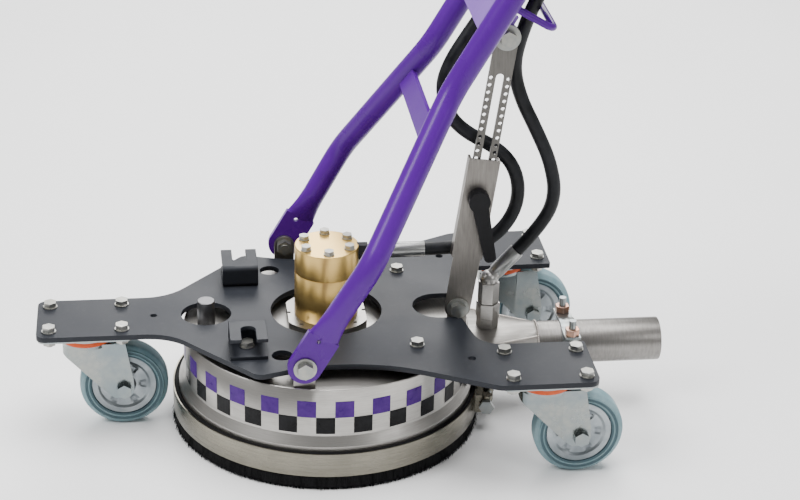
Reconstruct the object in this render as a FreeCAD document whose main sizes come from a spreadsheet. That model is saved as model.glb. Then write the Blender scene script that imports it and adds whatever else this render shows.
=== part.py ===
"""Rotary high-pressure surface cleaner on three castors, with a folding push handle.

Units are millimetres.  The frame of the part has +X to the machine's side, +Y to its rear (the
suction outlet) and +Z up, with the origin on the floor in the middle of the machine's footprint.
Sub-parts are laid out from the drum's vertical axis, which stands at y = drum_y in that frame.
"""
import FreeCAD, Part
import Sketcher
import math
import os

Vector = FreeCAD.Vector
Placement = FreeCAD.Placement
Rotation = FreeCAD.Rotation

SIZES = {
    # where the drum's axis stands between the machine's front and rear ends
    "drum_y": -61.5,
    # drum
    "drum_radius": 161.5, "drum_wall": 2.5, "lid_top": 114.5, "rim_height": 2.5, "rim_width": 2.0,
    "step_top": 60.0, "step_bottom": 50.0, "skirt_step": 6.5, "skirt_bottom": 20.0,
    "lid_hole_radius": 31.0,
    # brush ring and its band
    "backing_thick": 5.5, "backing_bottom": 16.0, "backing_top": 43.5, "bristle_flare": 4.5,
    "band_thick": 1.5, "band_bottom": 17.0, "band_top": 44.5, "band_bolt_angle": 78.0,
    "band_barrel_out": 12.5, "band_barrel_radius": 6.0, "band_barrel_y": 15.0, "band_head": 6.0,
    "band_flats": 15.0, "band_bolt_z": 31.0,
    # frame plate
    "plate_thick": 6.0, "plate_bottom": 125.0, "tongue_half": 45.0, "tongue_root": 178.0,
    "front_margin": 54.0, "rear_margin": 53.0, "side_margin": 45.0, "inner_margin": 49.0,
    "shoulder_y": 86.0, "waist_half": 114.4, "waist_y": 21.0, "hip_y": 170.0,
    "cutout_half": 30.0, "cutout_front": 99.0, "cutout_step_y": 150.0, "cutout_rear_y": 163.0,
    "swivel_hole_radius": 63.0, "pin_hole_radius": 28.2, "pin_y": 135.7,
    "front_hole_radius": 4.0, "front_hole_y": 194.5, "eye_radius": 11.5, "eye_x": 105.0,
    "eye_y": 57.5, "accessory_radius": 4.5, "accessory_x": 128.5, "accessory_y": 147.7,
    # fasteners
    "bolt_radius": 4.0, "bolt_hole_radius": 4.2, "bolt_flats": 13.0, "bolt_head": 5.3,
    "nut_height": 6.5, "spacer_radius": 9.0, "washer_radius": 8.0, "washer_thick": 1.4,
    # frame brackets
    "bracket_length": 49.0, "bracket_height": 25.0, "bracket_width": 41.0, "bracket_wall": 4.0,
    "bracket_notch": 8.0, "notch_depth": 24.0, "bracket_x": 64.0, "bracket_y": 73.0,
    # stop pin
    "pin_radius": 10.0, "pin_top": 148.0,
    # high-pressure swivel
    "flange_radius": 50.0, "flange_flat": 44.0, "flange_top": 129.0, "neck_radius": 30.8,
    "neck_bottom": 100.0, "brass_radius": 36.0, "cap_bottom": 182.0, "cap_top": 213.0,
    "swivel_bore": 17.0, "shaft_radius": 12.0, "cap_bolt_circle": 28.0, "cap_bolt_radius": 3.0,
    "cap_bolt_flats": 10.0, "bearing_height": 12.0, "inlet_z": 203.5, "inlet_flats": 17.0, "ferrule_radius": 8.8,
    # rotor
    "hub_side": 40.0, "hub_bottom": 40.0, "hub_height": 18.0, "arm_reach": 131.0,
    "arm_radius": 8.0, "nozzle_side": 18.0,
    # suction outlet
    "duct_half": 61.5, "duct_wall": 2.0, "duct_length": 81.5, "tube_radius": 25.0,
    "tube_wall": 2.0, "tube_z": 78.0, "tube_length": 145.0, "clamp_from_duct": 37.0,
    "clamp_width": 18.0, "clamp_rod": 4.0, "clamp_wall": 3.0, "clamp_flats": 15.0,
    "clamp_nut": 8.0,
    # injector fitting on the duct
    "injector_from_drum": 24.5, "injector_flats": 22.0, "injector_low": 12.0,
    "injector_middle": 19.5, "injector_high": 25.0, "elbow_rise": 3.5,
    # castors
    "wheel_radius": 50.0, "wheel_width": 28.0, "castor_trail": 40.0, "castor_plate_x": 85.0,
    "castor_plate_y": 105.0, "castor_plate_thick": 3.0, "castor_hole_x": 30.0,
    "castor_hole_y": 40.0, "raceway_radius": 30.0, "fork_wall": 2.5, "fork_gap": 19.5,
    "fork_front": 27.0, "fork_eye": 11.0, "axle_radius": 6.0, "axle_flats": 15.0,
    "front_castor_stand": 102.0, "rear_castor_stand": 100.7636, "rear_castor_angle": 56.8418,
    # handle
    "handle_tilt": 60.0, "pivot_y": -37.0, "pivot_z": 143.0, "pivot_bolt_radius": 5.0,
    "pivot_flats": 16.0, "pivot_nut": 8.0, "lug_from_rim": 15.5, "lug_thick": 5.0, "lug_half": 11.8, "handle_tube_radius": 13.45,
    "handle_tube_wall": 2.6, "flat_half": 18.5, "flat_thick": 7.0, "flat_length": 40.0,
    "knee_out": 15.0, "knee_s": 138.0, "neck_x": 75.0, "neck_s": 320.0, "handle_length": 880.0,
    "cross_bar_s": 270.0, "cross_bar_width": 25.0, "cross_bar_thick": 6.0,
    "panel_start": 385.0, "panel_length": 145.0, "panel_thick": 4.0,
    "guide_s": 430.0, "guide_depth": 62.0, "guide_rod": 4.0, "guide_half": 68.0,
    "handlebar_half": 255.0, "grip_length": 145.0, "grip_wall": 3.6,
    "valve_s": 802.0, "valve_length": 43.0, "valve_half": 34.0, "valve_depth": 26.0,
    "supply_radius": 11.0, "supply_length": 20.0,
    # adjusting strut
    "strut_from_rim": 14.5, "strut_z": 140.0, "strut_length": 323.8, "strut_angle": 82.4,
    "strut_web": 21.8, "strut_wall": 2.5, "sleeve_length": 182.0, "sleeve_half": 17.5,
    "slider_half": 13.0, "slider_thick": 3.0, "slider_foot": 100.0, "slot_half": 4.5,
    "slot_start": 112.0, "slot_end": 282.0, "row_radius": 2.2, "row_offset": 9.7,
    "row_pitch": 8.6, "clamp_at": 136.0, "stud_radius": 4.2, "open_pivot_radius": 10.3,
    "top_bolt_radius": 6.0, "top_bolt_flats": 18.0, "lever_length": 75.0, "lever_half": 6.5,
    "lever_tilt": -160.4,
    # hoses
    "hose_radius": 7.75,
}

doc = FreeCAD.newDocument("surface_cleaner")
sheet = doc.addObject("Spreadsheet::Sheet", "dims")
for row, (alias, value) in enumerate(SIZES.items(), start=1):
    sheet.set(f"A{row}", alias)
    sheet.set(f"B{row}", str(value))
    sheet.setAlias(f"B{row}", alias)
doc.recompute()


class Size(float):
    """A length that remembers the sheet expression it comes from."""

    def __new__(cls, value, text):
        size = super().__new__(cls, value)
        size.text = text
        return size

    @staticmethod
    def text_of(value):
        return value.text if isinstance(value, Size) else repr(float(value))

    def __add__(self, other):
        return Size(float(self) + float(other), f"({self.text} + {Size.text_of(other)})")

    def __radd__(self, other):
        return Size(float(other) + float(self), f"({Size.text_of(other)} + {self.text})")

    def __sub__(self, other):
        return Size(float(self) - float(other), f"({self.text} - {Size.text_of(other)})")

    def __rsub__(self, other):
        return Size(float(other) - float(self), f"({Size.text_of(other)} - {self.text})")

    def __mul__(self, other):
        return Size(float(self) * float(other), f"({self.text} * {Size.text_of(other)})")

    def __rmul__(self, other):
        return Size(float(other) * float(self), f"({Size.text_of(other)} * {self.text})")

    def __truediv__(self, other):
        return Size(float(self) / float(other), f"({self.text} / {Size.text_of(other)})")

    def __neg__(self):
        return Size(-float(self), f"(0 - {self.text})")


class Dimensions:
    """The sheet's cells, read as attributes."""

    def __getattr__(self, alias):
        return Size(sheet.get(alias), f"dims.{alias}")


d = Dimensions()

# sizes and places that follow the drum's
skirt_radius = d.drum_radius + d.skirt_step
front_castor_y = skirt_radius + d.front_castor_stand
rear_castor_reach = skirt_radius + d.rear_castor_stand
rear_castor_x = rear_castor_reach * math.cos(math.radians(d.rear_castor_angle))
rear_castor_y = rear_castor_reach * math.sin(math.radians(d.rear_castor_angle))
plate_front = front_castor_y + d.front_margin
plate_rear = rear_castor_y + d.rear_margin
wing_half = rear_castor_x + d.side_margin
wing_inner = rear_castor_x - d.inner_margin
lug_inner = d.drum_radius - d.lug_from_rim
shoulder_half = lug_inner + 2.5
knee_x = lug_inner + d.knee_out
strut_y = d.drum_radius - d.strut_from_rim
injector_y = d.drum_radius + d.injector_from_drum
duct_end = d.drum_radius + d.duct_length
duct_top = d.tube_z + d.tube_radius
duct_bottom = d.tube_z - d.tube_radius
tube_end = duct_end + d.tube_length
clamp_y = duct_end + d.clamp_from_duct

RUN = 0.05           # radial clearance of a running fit
GAP = 0.3            # clearance between soft or moving faces
AIM = {
    "z": Rotation(),
    "x": Rotation(Vector(0, 1, 0), 90),
    "y": Rotation(Vector(1, 0, 0), -90),
    "down": Rotation(Vector(1, 0, 0), 180),
}
nodes = {}


def frame_at(x, y, z, tilt=0.0):
    """Frame at a point of the drum's frame, tilted about X by tilt degrees."""
    turn = Rotation(Vector(1, 0, 0), float(tilt))
    return Placement(Vector(float(x), float(y + d.drum_y), float(z)), turn)


DRUM = frame_at(0, 0, 0)
# in the handle's frame x runs across, y up along the handle and z out of its front face
HANDLE = frame_at(0, d.pivot_y, d.pivot_z, d.handle_tilt)
# in the strut's frame y runs from the lower pivot to the upper one
STRUT = frame_at(0, strut_y, d.strut_z, d.strut_angle)


def bind(obj, prop, size):
    """Drives a property from the sheet, or sets it where the size is a plain number."""
    if isinstance(size, Size):
        obj.setExpression(prop, size.text)
    setattr(obj, prop, float(size))


def place(obj, at, aim="z", frame=DRUM):
    turn = AIM[aim] if isinstance(aim, str) else aim
    obj.Placement = frame * Placement(Vector(*[float(c) for c in at]), turn)
    return obj


def node(name, obj):
    """Names a finished sub-part."""
    obj.Label = name
    nodes[name] = obj
    return obj


def cylinder(radius, height, at, aim="z", frame=DRUM):
    obj = doc.addObject("Part::Cylinder", "cylinder")
    bind(obj, "Radius", radius)
    bind(obj, "Height", height)
    return place(obj, at, aim, frame)


def cone(radius, top_radius, height, at, aim="z", frame=DRUM):
    obj = doc.addObject("Part::Cone", "cone")
    bind(obj, "Radius1", radius)
    bind(obj, "Radius2", top_radius)
    bind(obj, "Height", height)
    return place(obj, at, aim, frame)


def sphere(radius, at, frame=DRUM):
    obj = doc.addObject("Part::Sphere", "sphere")
    bind(obj, "Radius", radius)
    return place(obj, at, "z", frame)


def block(length, width, height, at, frame=DRUM):
    """Box with its base centred on a point."""
    obj = doc.addObject("Part::Box", "block")
    bind(obj, "Length", length)
    bind(obj, "Width", width)
    bind(obj, "Height", height)
    corner = (at[0] - float(length) / 2, at[1] - float(width) / 2, at[2])
    return place(obj, corner, "z", frame)


def hexagon(flats, height, at, aim="z", frame=DRUM):
    obj = doc.addObject("Part::Prism", "hexagon")
    obj.Polygon = 6
    bind(obj, "Circumradius", flats * (1 / math.sqrt(3)))
    bind(obj, "Height", height)
    return place(obj, at, aim, frame)


def fuse(*parts):
    if len(parts) == 1:
        return parts[0]
    obj = doc.addObject("Part::MultiFuse", "fuse")
    obj.Shapes = list(parts)
    return obj


def cut(base, *tools):
    obj = doc.addObject("Part::Cut", "cut")
    obj.Base = base
    obj.Tool = fuse(*tools)
    return obj


def common(base, tool):
    obj = doc.addObject("Part::Common", "common")
    obj.Base = base
    obj.Tool = tool
    return obj


def group(*parts):
    """Identical pieces that share one node."""
    obj = doc.addObject("Part::Compound", "group")
    obj.Links = list(parts)
    return obj


def ring(outer, inner, height, at, aim="z", frame=DRUM):
    return cut(
        cylinder(outer, height, at, aim, frame),
        cylinder(inner, height, at, aim, frame),
    )


# ---------------------------------------------------------------- sketches


def sketch_in(body, plane):
    sketch = body.newObject("Sketcher::SketchObject", "sketch")
    support = next(f for f in body.Origin.OriginFeatures if f.Role == plane)
    sketch.AttachmentSupport = [(support, "")]
    sketch.MapMode = "FlatFace"
    return sketch


def pin_point(sketch, geometry, end, x, y):
    """Fixes a point of the sketch at sheet-driven coordinates."""
    for kind, axis, size in (("DistanceX", -2, x), ("DistanceY", -1, y)):
        if abs(float(size)) < 1e-9:
            sketch.addConstraint(Sketcher.Constraint("PointOnObject", geometry, end, axis))
            continue
        index = sketch.addConstraint(
            Sketcher.Constraint(kind, -1, 1, geometry, end, float(size))
        )
        if isinstance(size, Size):
            sketch.setExpression(f"Constraints[{index}]", size.text)


def hold_radius(sketch, geometry, size):
    index = sketch.addConstraint(Sketcher.Constraint("Radius", geometry, float(size)))
    if isinstance(size, Size):
        sketch.setExpression(f"Constraints[{index}]", size.text)


def add_circle(sketch, radius, x=0.0, y=0.0):
    centre = Vector(float(x), float(y), 0)
    index = sketch.addGeometry(Part.Circle(centre, Vector(0, 0, 1), float(radius)))
    pin_point(sketch, index, 3, x, y)
    hold_radius(sketch, index, radius)


def corner_arc(before, corner, after, radius):
    """Start, end, centre and sense of the arc that rounds a corner."""
    back = (before - corner).normalize()
    ahead = (after - corner).normalize()
    half = back.getAngle(ahead) / 2
    start = corner + back * (radius / math.tan(half))
    end = corner + ahead * (radius / math.tan(half))
    centre = corner + (back + ahead).normalize() * (radius / math.sin(half))
    left = back.x * ahead.y - back.y * ahead.x < 0
    return start, end, centre, left


def add_outline(sketch, corners):
    """Closed outline through (x, y, radius) corners, each corner driven by the sheet."""
    points = [Vector(float(x), float(y), 0) for x, y, _ in corners]
    count = len(corners)
    arcs = []
    for i, (_, _, radius) in enumerate(corners):
        if float(radius) > 0:
            arcs.append(corner_arc(points[i - 1], points[i], points[(i + 1) % count], float(radius)))
        else:
            arcs.append((points[i], points[i], None, None))
    lines = []
    for i in range(count):
        following = (i + 1) % count
        lines.append(sketch.addGeometry(Part.LineSegment(arcs[i][1], arcs[following][0])))
    for i, (x, y, radius) in enumerate(corners):
        entering, leaving = lines[i - 1], lines[i]
        start, end, centre, left = arcs[i]
        if centre is None:
            sketch.addConstraint(Sketcher.Constraint("Coincident", entering, 2, leaving, 1))
            pin_point(sketch, leaving, 1, x, y)
            continue
        first, last = (start, end) if left else (end, start)
        angles = [math.atan2(p.y - centre.y, p.x - centre.x) for p in (first, last)]
        circle = Part.Circle(centre, Vector(0, 0, 1), float(radius))
        arc = sketch.addGeometry(Part.ArcOfCircle(circle, angles[0], angles[1]))
        ends = (1, 2) if left else (2, 1)
        sketch.addConstraint(Sketcher.Constraint("Tangent", entering, 2, arc, ends[0]))
        sketch.addConstraint(Sketcher.Constraint("Tangent", arc, ends[1], leaving, 1))
        hold_radius(sketch, arc, radius)
        point = sketch.addGeometry(Part.Point(points[i]), True)
        sketch.addConstraint(Sketcher.Constraint("PointOnObject", point, 1, entering))
        sketch.addConstraint(Sketcher.Constraint("PointOnObject", point, 1, leaving))
        pin_point(sketch, point, 1, x, y)


def padded(corners, thick, at=(0, 0, 0), aim="z", frame=DRUM, circles=(), plane="XY_Plane"):
    """Body padded from an outline with round holes (radius, x, y)."""
    body = doc.addObject("PartDesign::Body", "body")
    sketch = sketch_in(body, plane)
    add_outline(sketch, corners)
    for radius, x, y in circles:
        add_circle(sketch, radius, x, y)
    pad = body.newObject("PartDesign::Pad", "pad")
    pad.Profile = sketch
    bind(pad, "Length", thick)
    return place(body, at, aim, frame)


def revolved(corners, at=(0, 0, 0), aim="z", frame=DRUM):
    """Body turned about its own Z axis from an outline of (radius, height, fillet)."""
    body = doc.addObject("PartDesign::Body", "body")
    sketch = sketch_in(body, "XZ_Plane")
    add_outline(sketch, corners)
    turn = body.newObject("PartDesign::Revolution", "revolution")
    turn.Profile = sketch
    turn.ReferenceAxis = (sketch, ["V_Axis"])
    turn.Angle = 360
    return place(body, at, aim, frame)


# ---------------------------------------------------------------- bent tubes and hoses


def rounded_path(points, radii):
    """Wire of straight runs joined by tangent arcs."""
    edges = []
    here = points[0]
    for i in range(1, len(points) - 1):
        back = (points[i - 1] - points[i]).normalize()
        ahead = (points[i + 1] - points[i]).normalize()
        half = back.getAngle(ahead) / 2
        reach = radii[i - 1] / math.tan(half)
        start = points[i] + back * reach
        end = points[i] + ahead * reach
        centre = points[i] + (back + ahead).normalize() * (radii[i - 1] / math.sin(half))
        middle = centre + (points[i] - centre).normalize() * radii[i - 1]
        edges.append(Part.LineSegment(here, start).toShape())
        edges.append(Part.Arc(start, middle, end).toShape())
        here = end
    edges.append(Part.LineSegment(here, points[-1]).toShape())
    return Part.Wire(edges)


def tube_along(path, radius):
    first = path.OrderedEdges[0]
    start = first.valueAt(first.FirstParameter)
    profile = Part.Wire(Part.makeCircle(radius, start, first.tangentAt(first.FirstParameter)))
    return path.makePipeShell([profile], True, False)


def feature(shape, frame=DRUM):
    """Sub-part whose shape is built from swept or lofted wires."""
    obj = doc.addObject("Part::Feature", "feature")
    obj.Shape = shape
    obj.Placement = frame
    return obj


# ---------------------------------------------------------------- fasteners


def bolt(at, grip, aim="z", frame=DRUM, radius=d.bolt_radius, flats=d.bolt_flats,
         head=d.bolt_head):
    """Hex bolt whose head sits on a point, with a shank of the given grip below it."""
    turn = AIM[aim] if isinstance(aim, str) else aim
    seat = frame * Placement(Vector(*[float(c) for c in at]), turn)
    return fuse(
        hexagon(flats, head, (0, 0, 0), frame=seat),
        cylinder(radius, grip, (0, 0, -grip), frame=seat),
    )


def nut(at, aim="z", frame=DRUM, radius=d.bolt_radius, flats=d.bolt_flats, height=d.nut_height):
    return cut(
        hexagon(flats, height, at, aim, frame),
        cylinder(radius, height, at, aim, frame),
    )


def washered_bolt(x, y, seat, grip):
    """Upright bolt with a plain washer under its head."""
    return fuse(
        cylinder(d.washer_radius, d.washer_thick, (x, y, seat)),
        bolt((x, y, seat + d.washer_thick), grip + d.washer_thick),
    )


def mirrored(corners):
    """Outline made whole from its right half."""
    return corners + [(-x, y, radius) for x, y, radius in reversed(corners)]


# ---------------------------------------------------------------- drum and brush

plate_top = d.plate_bottom + d.plate_thick
lid_bottom = d.lid_top - d.drum_wall
drum_bolts = [(93.0, 92.0), (-93.0, 92.0)]
bracket_bolts = [(88.0, -94.6), (-88.0, -94.6)]


def make_drum():
    """Spun stainless bell: flat lid, rolled rim, stepped skirt, and a mouth for the duct."""
    inner = d.drum_radius - d.drum_wall
    rim_inner = d.drum_radius - d.rim_width
    profile = [
        (d.lid_hole_radius, lid_bottom, 0),
        (inner, lid_bottom, 0),
        (inner, d.step_top + 1, 0),
        (skirt_radius - d.drum_wall, d.step_bottom + 1, 0),
        (skirt_radius - d.drum_wall, d.skirt_bottom, 0),
        (skirt_radius, d.skirt_bottom, 0),
        (skirt_radius, d.step_bottom, 2.0),
        (d.drum_radius, d.step_top, 3.0),
        (d.drum_radius, d.lid_top + d.rim_height, 0.9),
        (rim_inner, d.lid_top + d.rim_height, 0.9),
        (rim_inner, d.lid_top, 0),
        (d.lid_hole_radius, d.lid_top, 0),
    ]
    shell = revolved(profile)
    mouth = block(90.0, 60.0, 36.0, (0, d.drum_radius, d.step_top + 2))
    holes = [
        cylinder(d.bolt_hole_radius, 10.0, (x, y, lid_bottom - 3))
        for x, y in drum_bolts + bracket_bolts
    ]
    vents = [
        cylinder(5.0, 10.0, (0, -d.pin_y + side * 18.0, lid_bottom - 3)) for side in (-1, 1)
    ]
    node("drum_shell", cut(shell, mouth, *holes, *vents))


def make_brush():
    """Rubber-backed strip brush round the skirt, drawn tight by a band with a T-bolt."""
    inner = skirt_radius
    outer = inner + d.backing_thick
    height = d.backing_top - d.backing_bottom
    node("brush_backing", ring(outer, inner, height, (0, 0, d.backing_bottom)))
    node("brush_bristles", revolved([
        (inner + 0.4, d.backing_bottom, 0),
        (inner + 1.6, 0.0, 0),
        (outer + d.bristle_flare, 0.0, 1.0),
        (outer - 0.4, d.backing_bottom, 0),
    ]))
    band_inner = outer
    band = ring(
        band_inner + d.band_thick, band_inner, d.band_top - d.band_bottom,
        (0, 0, d.band_bottom),
    )
    turn = Rotation(Vector(0, 0, 1), float(d.band_bolt_angle))
    seat = DRUM * Placement(Vector(0, 0, 0), turn)
    barrel_at = band_inner + d.band_thick + d.band_barrel_out
    lug = barrel_at - band_inner
    radius, reach = d.band_barrel_radius, d.band_barrel_y + d.band_barrel_radius
    barrels = []
    for side in (-1, 1):
        barrel_y = side * float(d.band_barrel_y)
        barrels.append(cylinder(radius, 22.0, (barrel_at, barrel_y, 20.0), frame=seat))
        barrels.append(
            block(lug, 2.0, 22.0, (band_inner + lug / 2, barrel_y + side * 2.0, 20.0), frame=seat)
        )
    gap = block(12.0, 18.0, 40.0, (band_inner, 0, 10.0), frame=seat)
    screw_hole = cylinder(d.bolt_radius + 0.1, 60.0, (barrel_at, -30.0, d.band_bolt_z), "y", seat)
    node("band_clamp", cut(cut(fuse(band, *barrels), gap), screw_hole))
    shank = 2 * reach + d.band_head + 4
    screw = fuse(
        cylinder(d.bolt_radius, shank, (barrel_at, -reach - 1, d.band_bolt_z), "y", seat),
        hexagon(d.band_flats, d.band_head, (barrel_at, -reach - d.band_head, d.band_bolt_z), "y",
                seat),
        hexagon(d.band_flats, d.band_head, (barrel_at, reach, d.band_bolt_z), "y", seat),
    )
    node("band_bolt", screw)


# ---------------------------------------------------------------- frame plate and its fittings


def make_frame_plate():
    right = [
        (d.tongue_half, -plate_front, 10.0),
        (d.tongue_half, -d.tongue_root, 60.0),
        (shoulder_half, -d.shoulder_y, 12.0),
        (d.waist_half, d.waist_y, 205.0),
        (wing_half, d.hip_y, 30.0),
        (wing_half, plate_rear, 12.0),
        (wing_inner, plate_rear, 3.0),
        (wing_inner, d.cutout_rear_y, 28.0),
        (d.cutout_half, d.cutout_step_y, 8.0),
        (d.cutout_half, d.cutout_front, d.cutout_half - 0.5),
    ]
    holes = [
        (d.swivel_hole_radius, 0.0, 0.0),
        (d.pin_hole_radius, 0.0, -d.pin_y),
        (d.front_hole_radius, 0.0, -d.front_hole_y),
        (d.eye_radius, d.eye_x, -d.eye_y),
        (d.eye_radius, -d.eye_x, -d.eye_y),
        (d.accessory_radius, d.accessory_x, d.accessory_y),
        (d.accessory_radius, -d.accessory_x, d.accessory_y),
    ]
    for x, y in drum_bolts + bracket_bolts:
        holes.append((d.bolt_hole_radius, x, y))
    for x, y in castor_places():
        for side in (-1, 1):
            for end in (-1, 1):
                at = (x + side * d.castor_hole_x, y + end * d.castor_hole_y)
                holes.append((d.bolt_hole_radius, at[0], at[1]))
    plate = padded(mirrored(right), d.plate_thick, (0, 0, d.plate_bottom), circles=holes)
    node("frame_plate", plate)


def make_spacers():
    height = d.plate_bottom - d.lid_top
    spacers = [
        ring(d.spacer_radius, d.bolt_hole_radius, height, (x, y, d.lid_top))
        for x, y in drum_bolts + bracket_bolts
    ]
    node("plate_spacers", group(*spacers))


def make_brackets():
    """Two C-shaped holders that stand on the frame plate and open outwards."""
    brackets = []
    for side in (1, -1):
        length, wall, height = d.bracket_length, d.bracket_wall, d.bracket_height
        outline = [
            (0.0, 0.0, 5.0),
            (length, 0.0, 0),
            (length, wall, 0),
            (wall, wall, 1.5),
            (wall, height - wall, 1.5),
            (length, height - wall, 0),
            (length, height, 0),
            (0.0, height, 5.0),
        ]
        turn = Rotation(Vector(0, 0, 1), 0 if side > 0 else 180)
        start = -d.bracket_y if side > 0 else -d.bracket_y - d.bracket_width
        channel = padded(
            outline, d.bracket_width, (side * d.bracket_x, start, plate_top), turn,
            plane="XZ_Plane",
        )
        middle = -d.bracket_y - d.bracket_width / 2
        notch_end = side * (d.bracket_x + length - d.notch_depth)
        reach = side * (d.bracket_x + length)
        top = plate_top + height - wall - 1
        notch = fuse(
            cylinder(d.bracket_notch, wall + 2, (notch_end, middle, top)),
            block(2 * d.notch_depth, 2 * d.bracket_notch, wall + 2, (reach, middle, top)),
        )
        hole = cylinder(d.bolt_hole_radius, wall + 2, (side * 88.0, -94.6, plate_top - 1))
        brackets.append(cut(channel, notch, hole))
    node("side_brackets", group(*brackets))


def make_stop_pin():
    node("stop_pin", revolved([
        (0.0, 0.0, 0),
        (d.pin_radius, 0.0, 0),
        (d.pin_radius, d.pin_top - d.lid_top, 1.2),
        (0.0, d.pin_top - d.lid_top, 0),
    ], (0, -d.pin_y, d.lid_top)))


def make_frame_bolts():
    """M8 bolts of the frame plate, each with its nut."""
    pieces = []
    for x, y in drum_bolts + bracket_bolts:
        seat = plate_top + d.bracket_wall if (x, y) in bracket_bolts else plate_top
        pieces.append(washered_bolt(x, y, seat, seat - lid_bottom + 9.0))
        pieces.append(nut((x, y, lid_bottom - d.nut_height)))
    for x, y in castor_places():
        for side in (-1, 1):
            for end in (-1, 1):
                at = (x + side * d.castor_hole_x, y + end * d.castor_hole_y)
                below = d.plate_bottom - d.castor_plate_thick
                pieces.append(washered_bolt(at[0], at[1], plate_top, plate_top - below + 8.5))
                pieces.append(nut((at[0], at[1], below - d.nut_height)))
    node("frame_bolts", group(*pieces))


# ---------------------------------------------------------------- swivel and rotor


def bolt_ring(radius, height, bottom, circle, count):
    return [
        cylinder(radius, height, (
            circle * math.cos(math.radians(360 * i / count)),
            circle * math.sin(math.radians(360 * i / count)),
            bottom,
        ))
        for i in range(count)
    ]


def make_swivel():
    """Brass high-pressure swivel on a stainless flange that is let into the drum's lid."""
    disc = cylinder(d.flange_radius, d.flange_top - d.lid_top - 4, (0, 0, d.lid_top + 4))
    flats = block(2 * d.flange_radius, 2 * d.flange_flat, 40.0, (0, 0, d.lid_top))
    foot = cylinder(d.flange_radius - 6, 4.0, (0, 0, d.lid_top))
    neck = cylinder(d.neck_radius, d.lid_top - d.neck_bottom, (0, 0, d.neck_bottom))
    bore = cylinder(d.swivel_bore, 60.0, (0, 0, d.neck_bottom - 5))
    drains = bolt_ring(2.3, 30.0, d.lid_top - 5, d.flange_radius - 7.5, 8)
    keys = []
    for turn in (-150, -90, -30, 30, 90, 150):
        seat = DRUM * Placement(Vector(0, 0, 0), Rotation(Vector(0, 0, 1), turn))
        keys.append(cylinder(2.6, 12.0, (d.flange_flat - 8, 0, d.flange_top - 6), "x", seat))
    body = fuse(common(disc, flats), foot, neck)
    node("swivel_flange", cut(body, bore, *drains, *keys))

    threads = bolt_ring(d.cap_bolt_radius, d.cap_top - d.cap_bottom + 10, d.cap_bottom - 10,
                        d.cap_bolt_circle, 6)
    height = d.cap_bottom - d.flange_top
    barrel = cylinder(d.brass_radius, height, (0, 0, d.flange_top))
    bore = cylinder(d.swivel_bore, height + 2, (0, 0, d.flange_top - 1))
    node("swivel_body", cut(barrel, bore, *threads))

    cap = revolved([
        (0.0, 0.0, 0),
        (d.brass_radius, 0.0, 0.6),
        (d.brass_radius, d.cap_top - d.cap_bottom, 1.2),
        (0.0, d.cap_top - d.cap_bottom, 0),
    ], (0, 0, d.cap_bottom))
    chamber = cylinder(d.shaft_radius + 1.0, 16.0, (0, 0, d.cap_bottom - 1))
    gallery = cylinder(3.0, 12.0, (0, 0, d.cap_bottom + 14))
    port = cylinder(3.0, d.brass_radius, (0, 0, d.inlet_z), "y")
    spotface = cylinder(d.inlet_flats * 0.6, 12.0, (0, d.brass_radius - 2, d.inlet_z), "y")
    node("swivel_cap", cut(cap, chamber, gallery, port, spotface, *threads))

    heads = []
    for i in range(6):
        turn = math.radians(60 * i)
        x, y = d.cap_bolt_circle * math.cos(turn), d.cap_bolt_circle * math.sin(turn)
        heads.append(fuse(
            cylinder(6.0, 1.2, (x, y, d.cap_top)),
            bolt((x, y, d.cap_top + 1.2), d.cap_top - d.cap_bottom + 9, radius=d.cap_bolt_radius,
                 flats=d.cap_bolt_flats, head=4.2),
        ))
    node("cap_bolts", group(*heads))

    bearings = [
        ring(d.swivel_bore - 0.02, d.shaft_radius + RUN, d.bearing_height, (0, 0, bottom))
        for bottom in (d.flange_top + 4, d.cap_bottom - 4 - d.bearing_height)
    ]
    node("swivel_bearings", group(*bearings))


def make_rotor():
    """Hollow shaft with its hub, two spray pipes and their nozzle blocks."""
    hub_top = d.hub_bottom + d.hub_height
    top = d.cap_bottom + 12
    shaft = fuse(
        cylinder(d.shaft_radius, top - hub_top, (0, 0, hub_top)),
        block(d.hub_side, d.hub_side, d.hub_height, (0, 0, d.hub_bottom)),
    )
    bore = cylinder(4.0, top - d.hub_bottom - 8, (0, 0, d.hub_bottom + 8))
    node("rotor_shaft", cut(shaft, bore))
    middle = d.hub_bottom + d.hub_height / 2
    length = d.arm_reach - d.hub_side / 2
    pipes = [
        ring(d.arm_radius, d.arm_radius - 3, length, (start, 0, middle), "x")
        for start in (d.hub_side / 2, -d.arm_reach)
    ]
    node("spray_pipes", group(*pipes))
    nozzles = []
    for side in (-1, 1):
        x = side * (d.arm_reach + d.nozzle_side / 2)
        body = block(d.nozzle_side, d.nozzle_side, d.hub_height, (x, 0, d.hub_bottom))
        jet = cone(3.0, 6.0, 9.0, (x, 0, d.hub_bottom - 9))
        nozzles.append(fuse(body, jet))
    node("spray_nozzles", group(*nozzles))


# ---------------------------------------------------------------- suction outlet


def duct_section(inset, y, share):
    """Section across the duct: a rectangle at share 0 that becomes the tube's circle at 1."""
    middle = float(d.tube_z)
    radius = float(d.tube_radius) - inset
    if share == 0:
        half = float(d.duct_half) - inset
        corners = [(half, -radius), (half, radius), (-half, radius), (-half, -radius)]
        points = [Vector(x, y, middle + z) for x, z in corners]
        return Part.Wire(Part.makePolygon(points + points[:1]).Edges)
    arcs = []
    for start in (-45, 45, 135, 225):
        through = [math.radians(start + turn) for turn in (0, 45, 90)]
        points = [
            Vector(radius * math.cos(a), y, middle + radius * math.sin(a)) for a in through
        ]
        arcs.append(Part.Arc(*points).toShape())
    return Part.Wire(arcs)


def funnel(inset, start):
    """Solid that runs from the rectangle to the tube's circle with straight flanks."""
    sections = [duct_section(inset, start, 0), duct_section(inset, float(duct_end), 1)]
    return feature(Part.makeLoft(sections, True, True))


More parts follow.
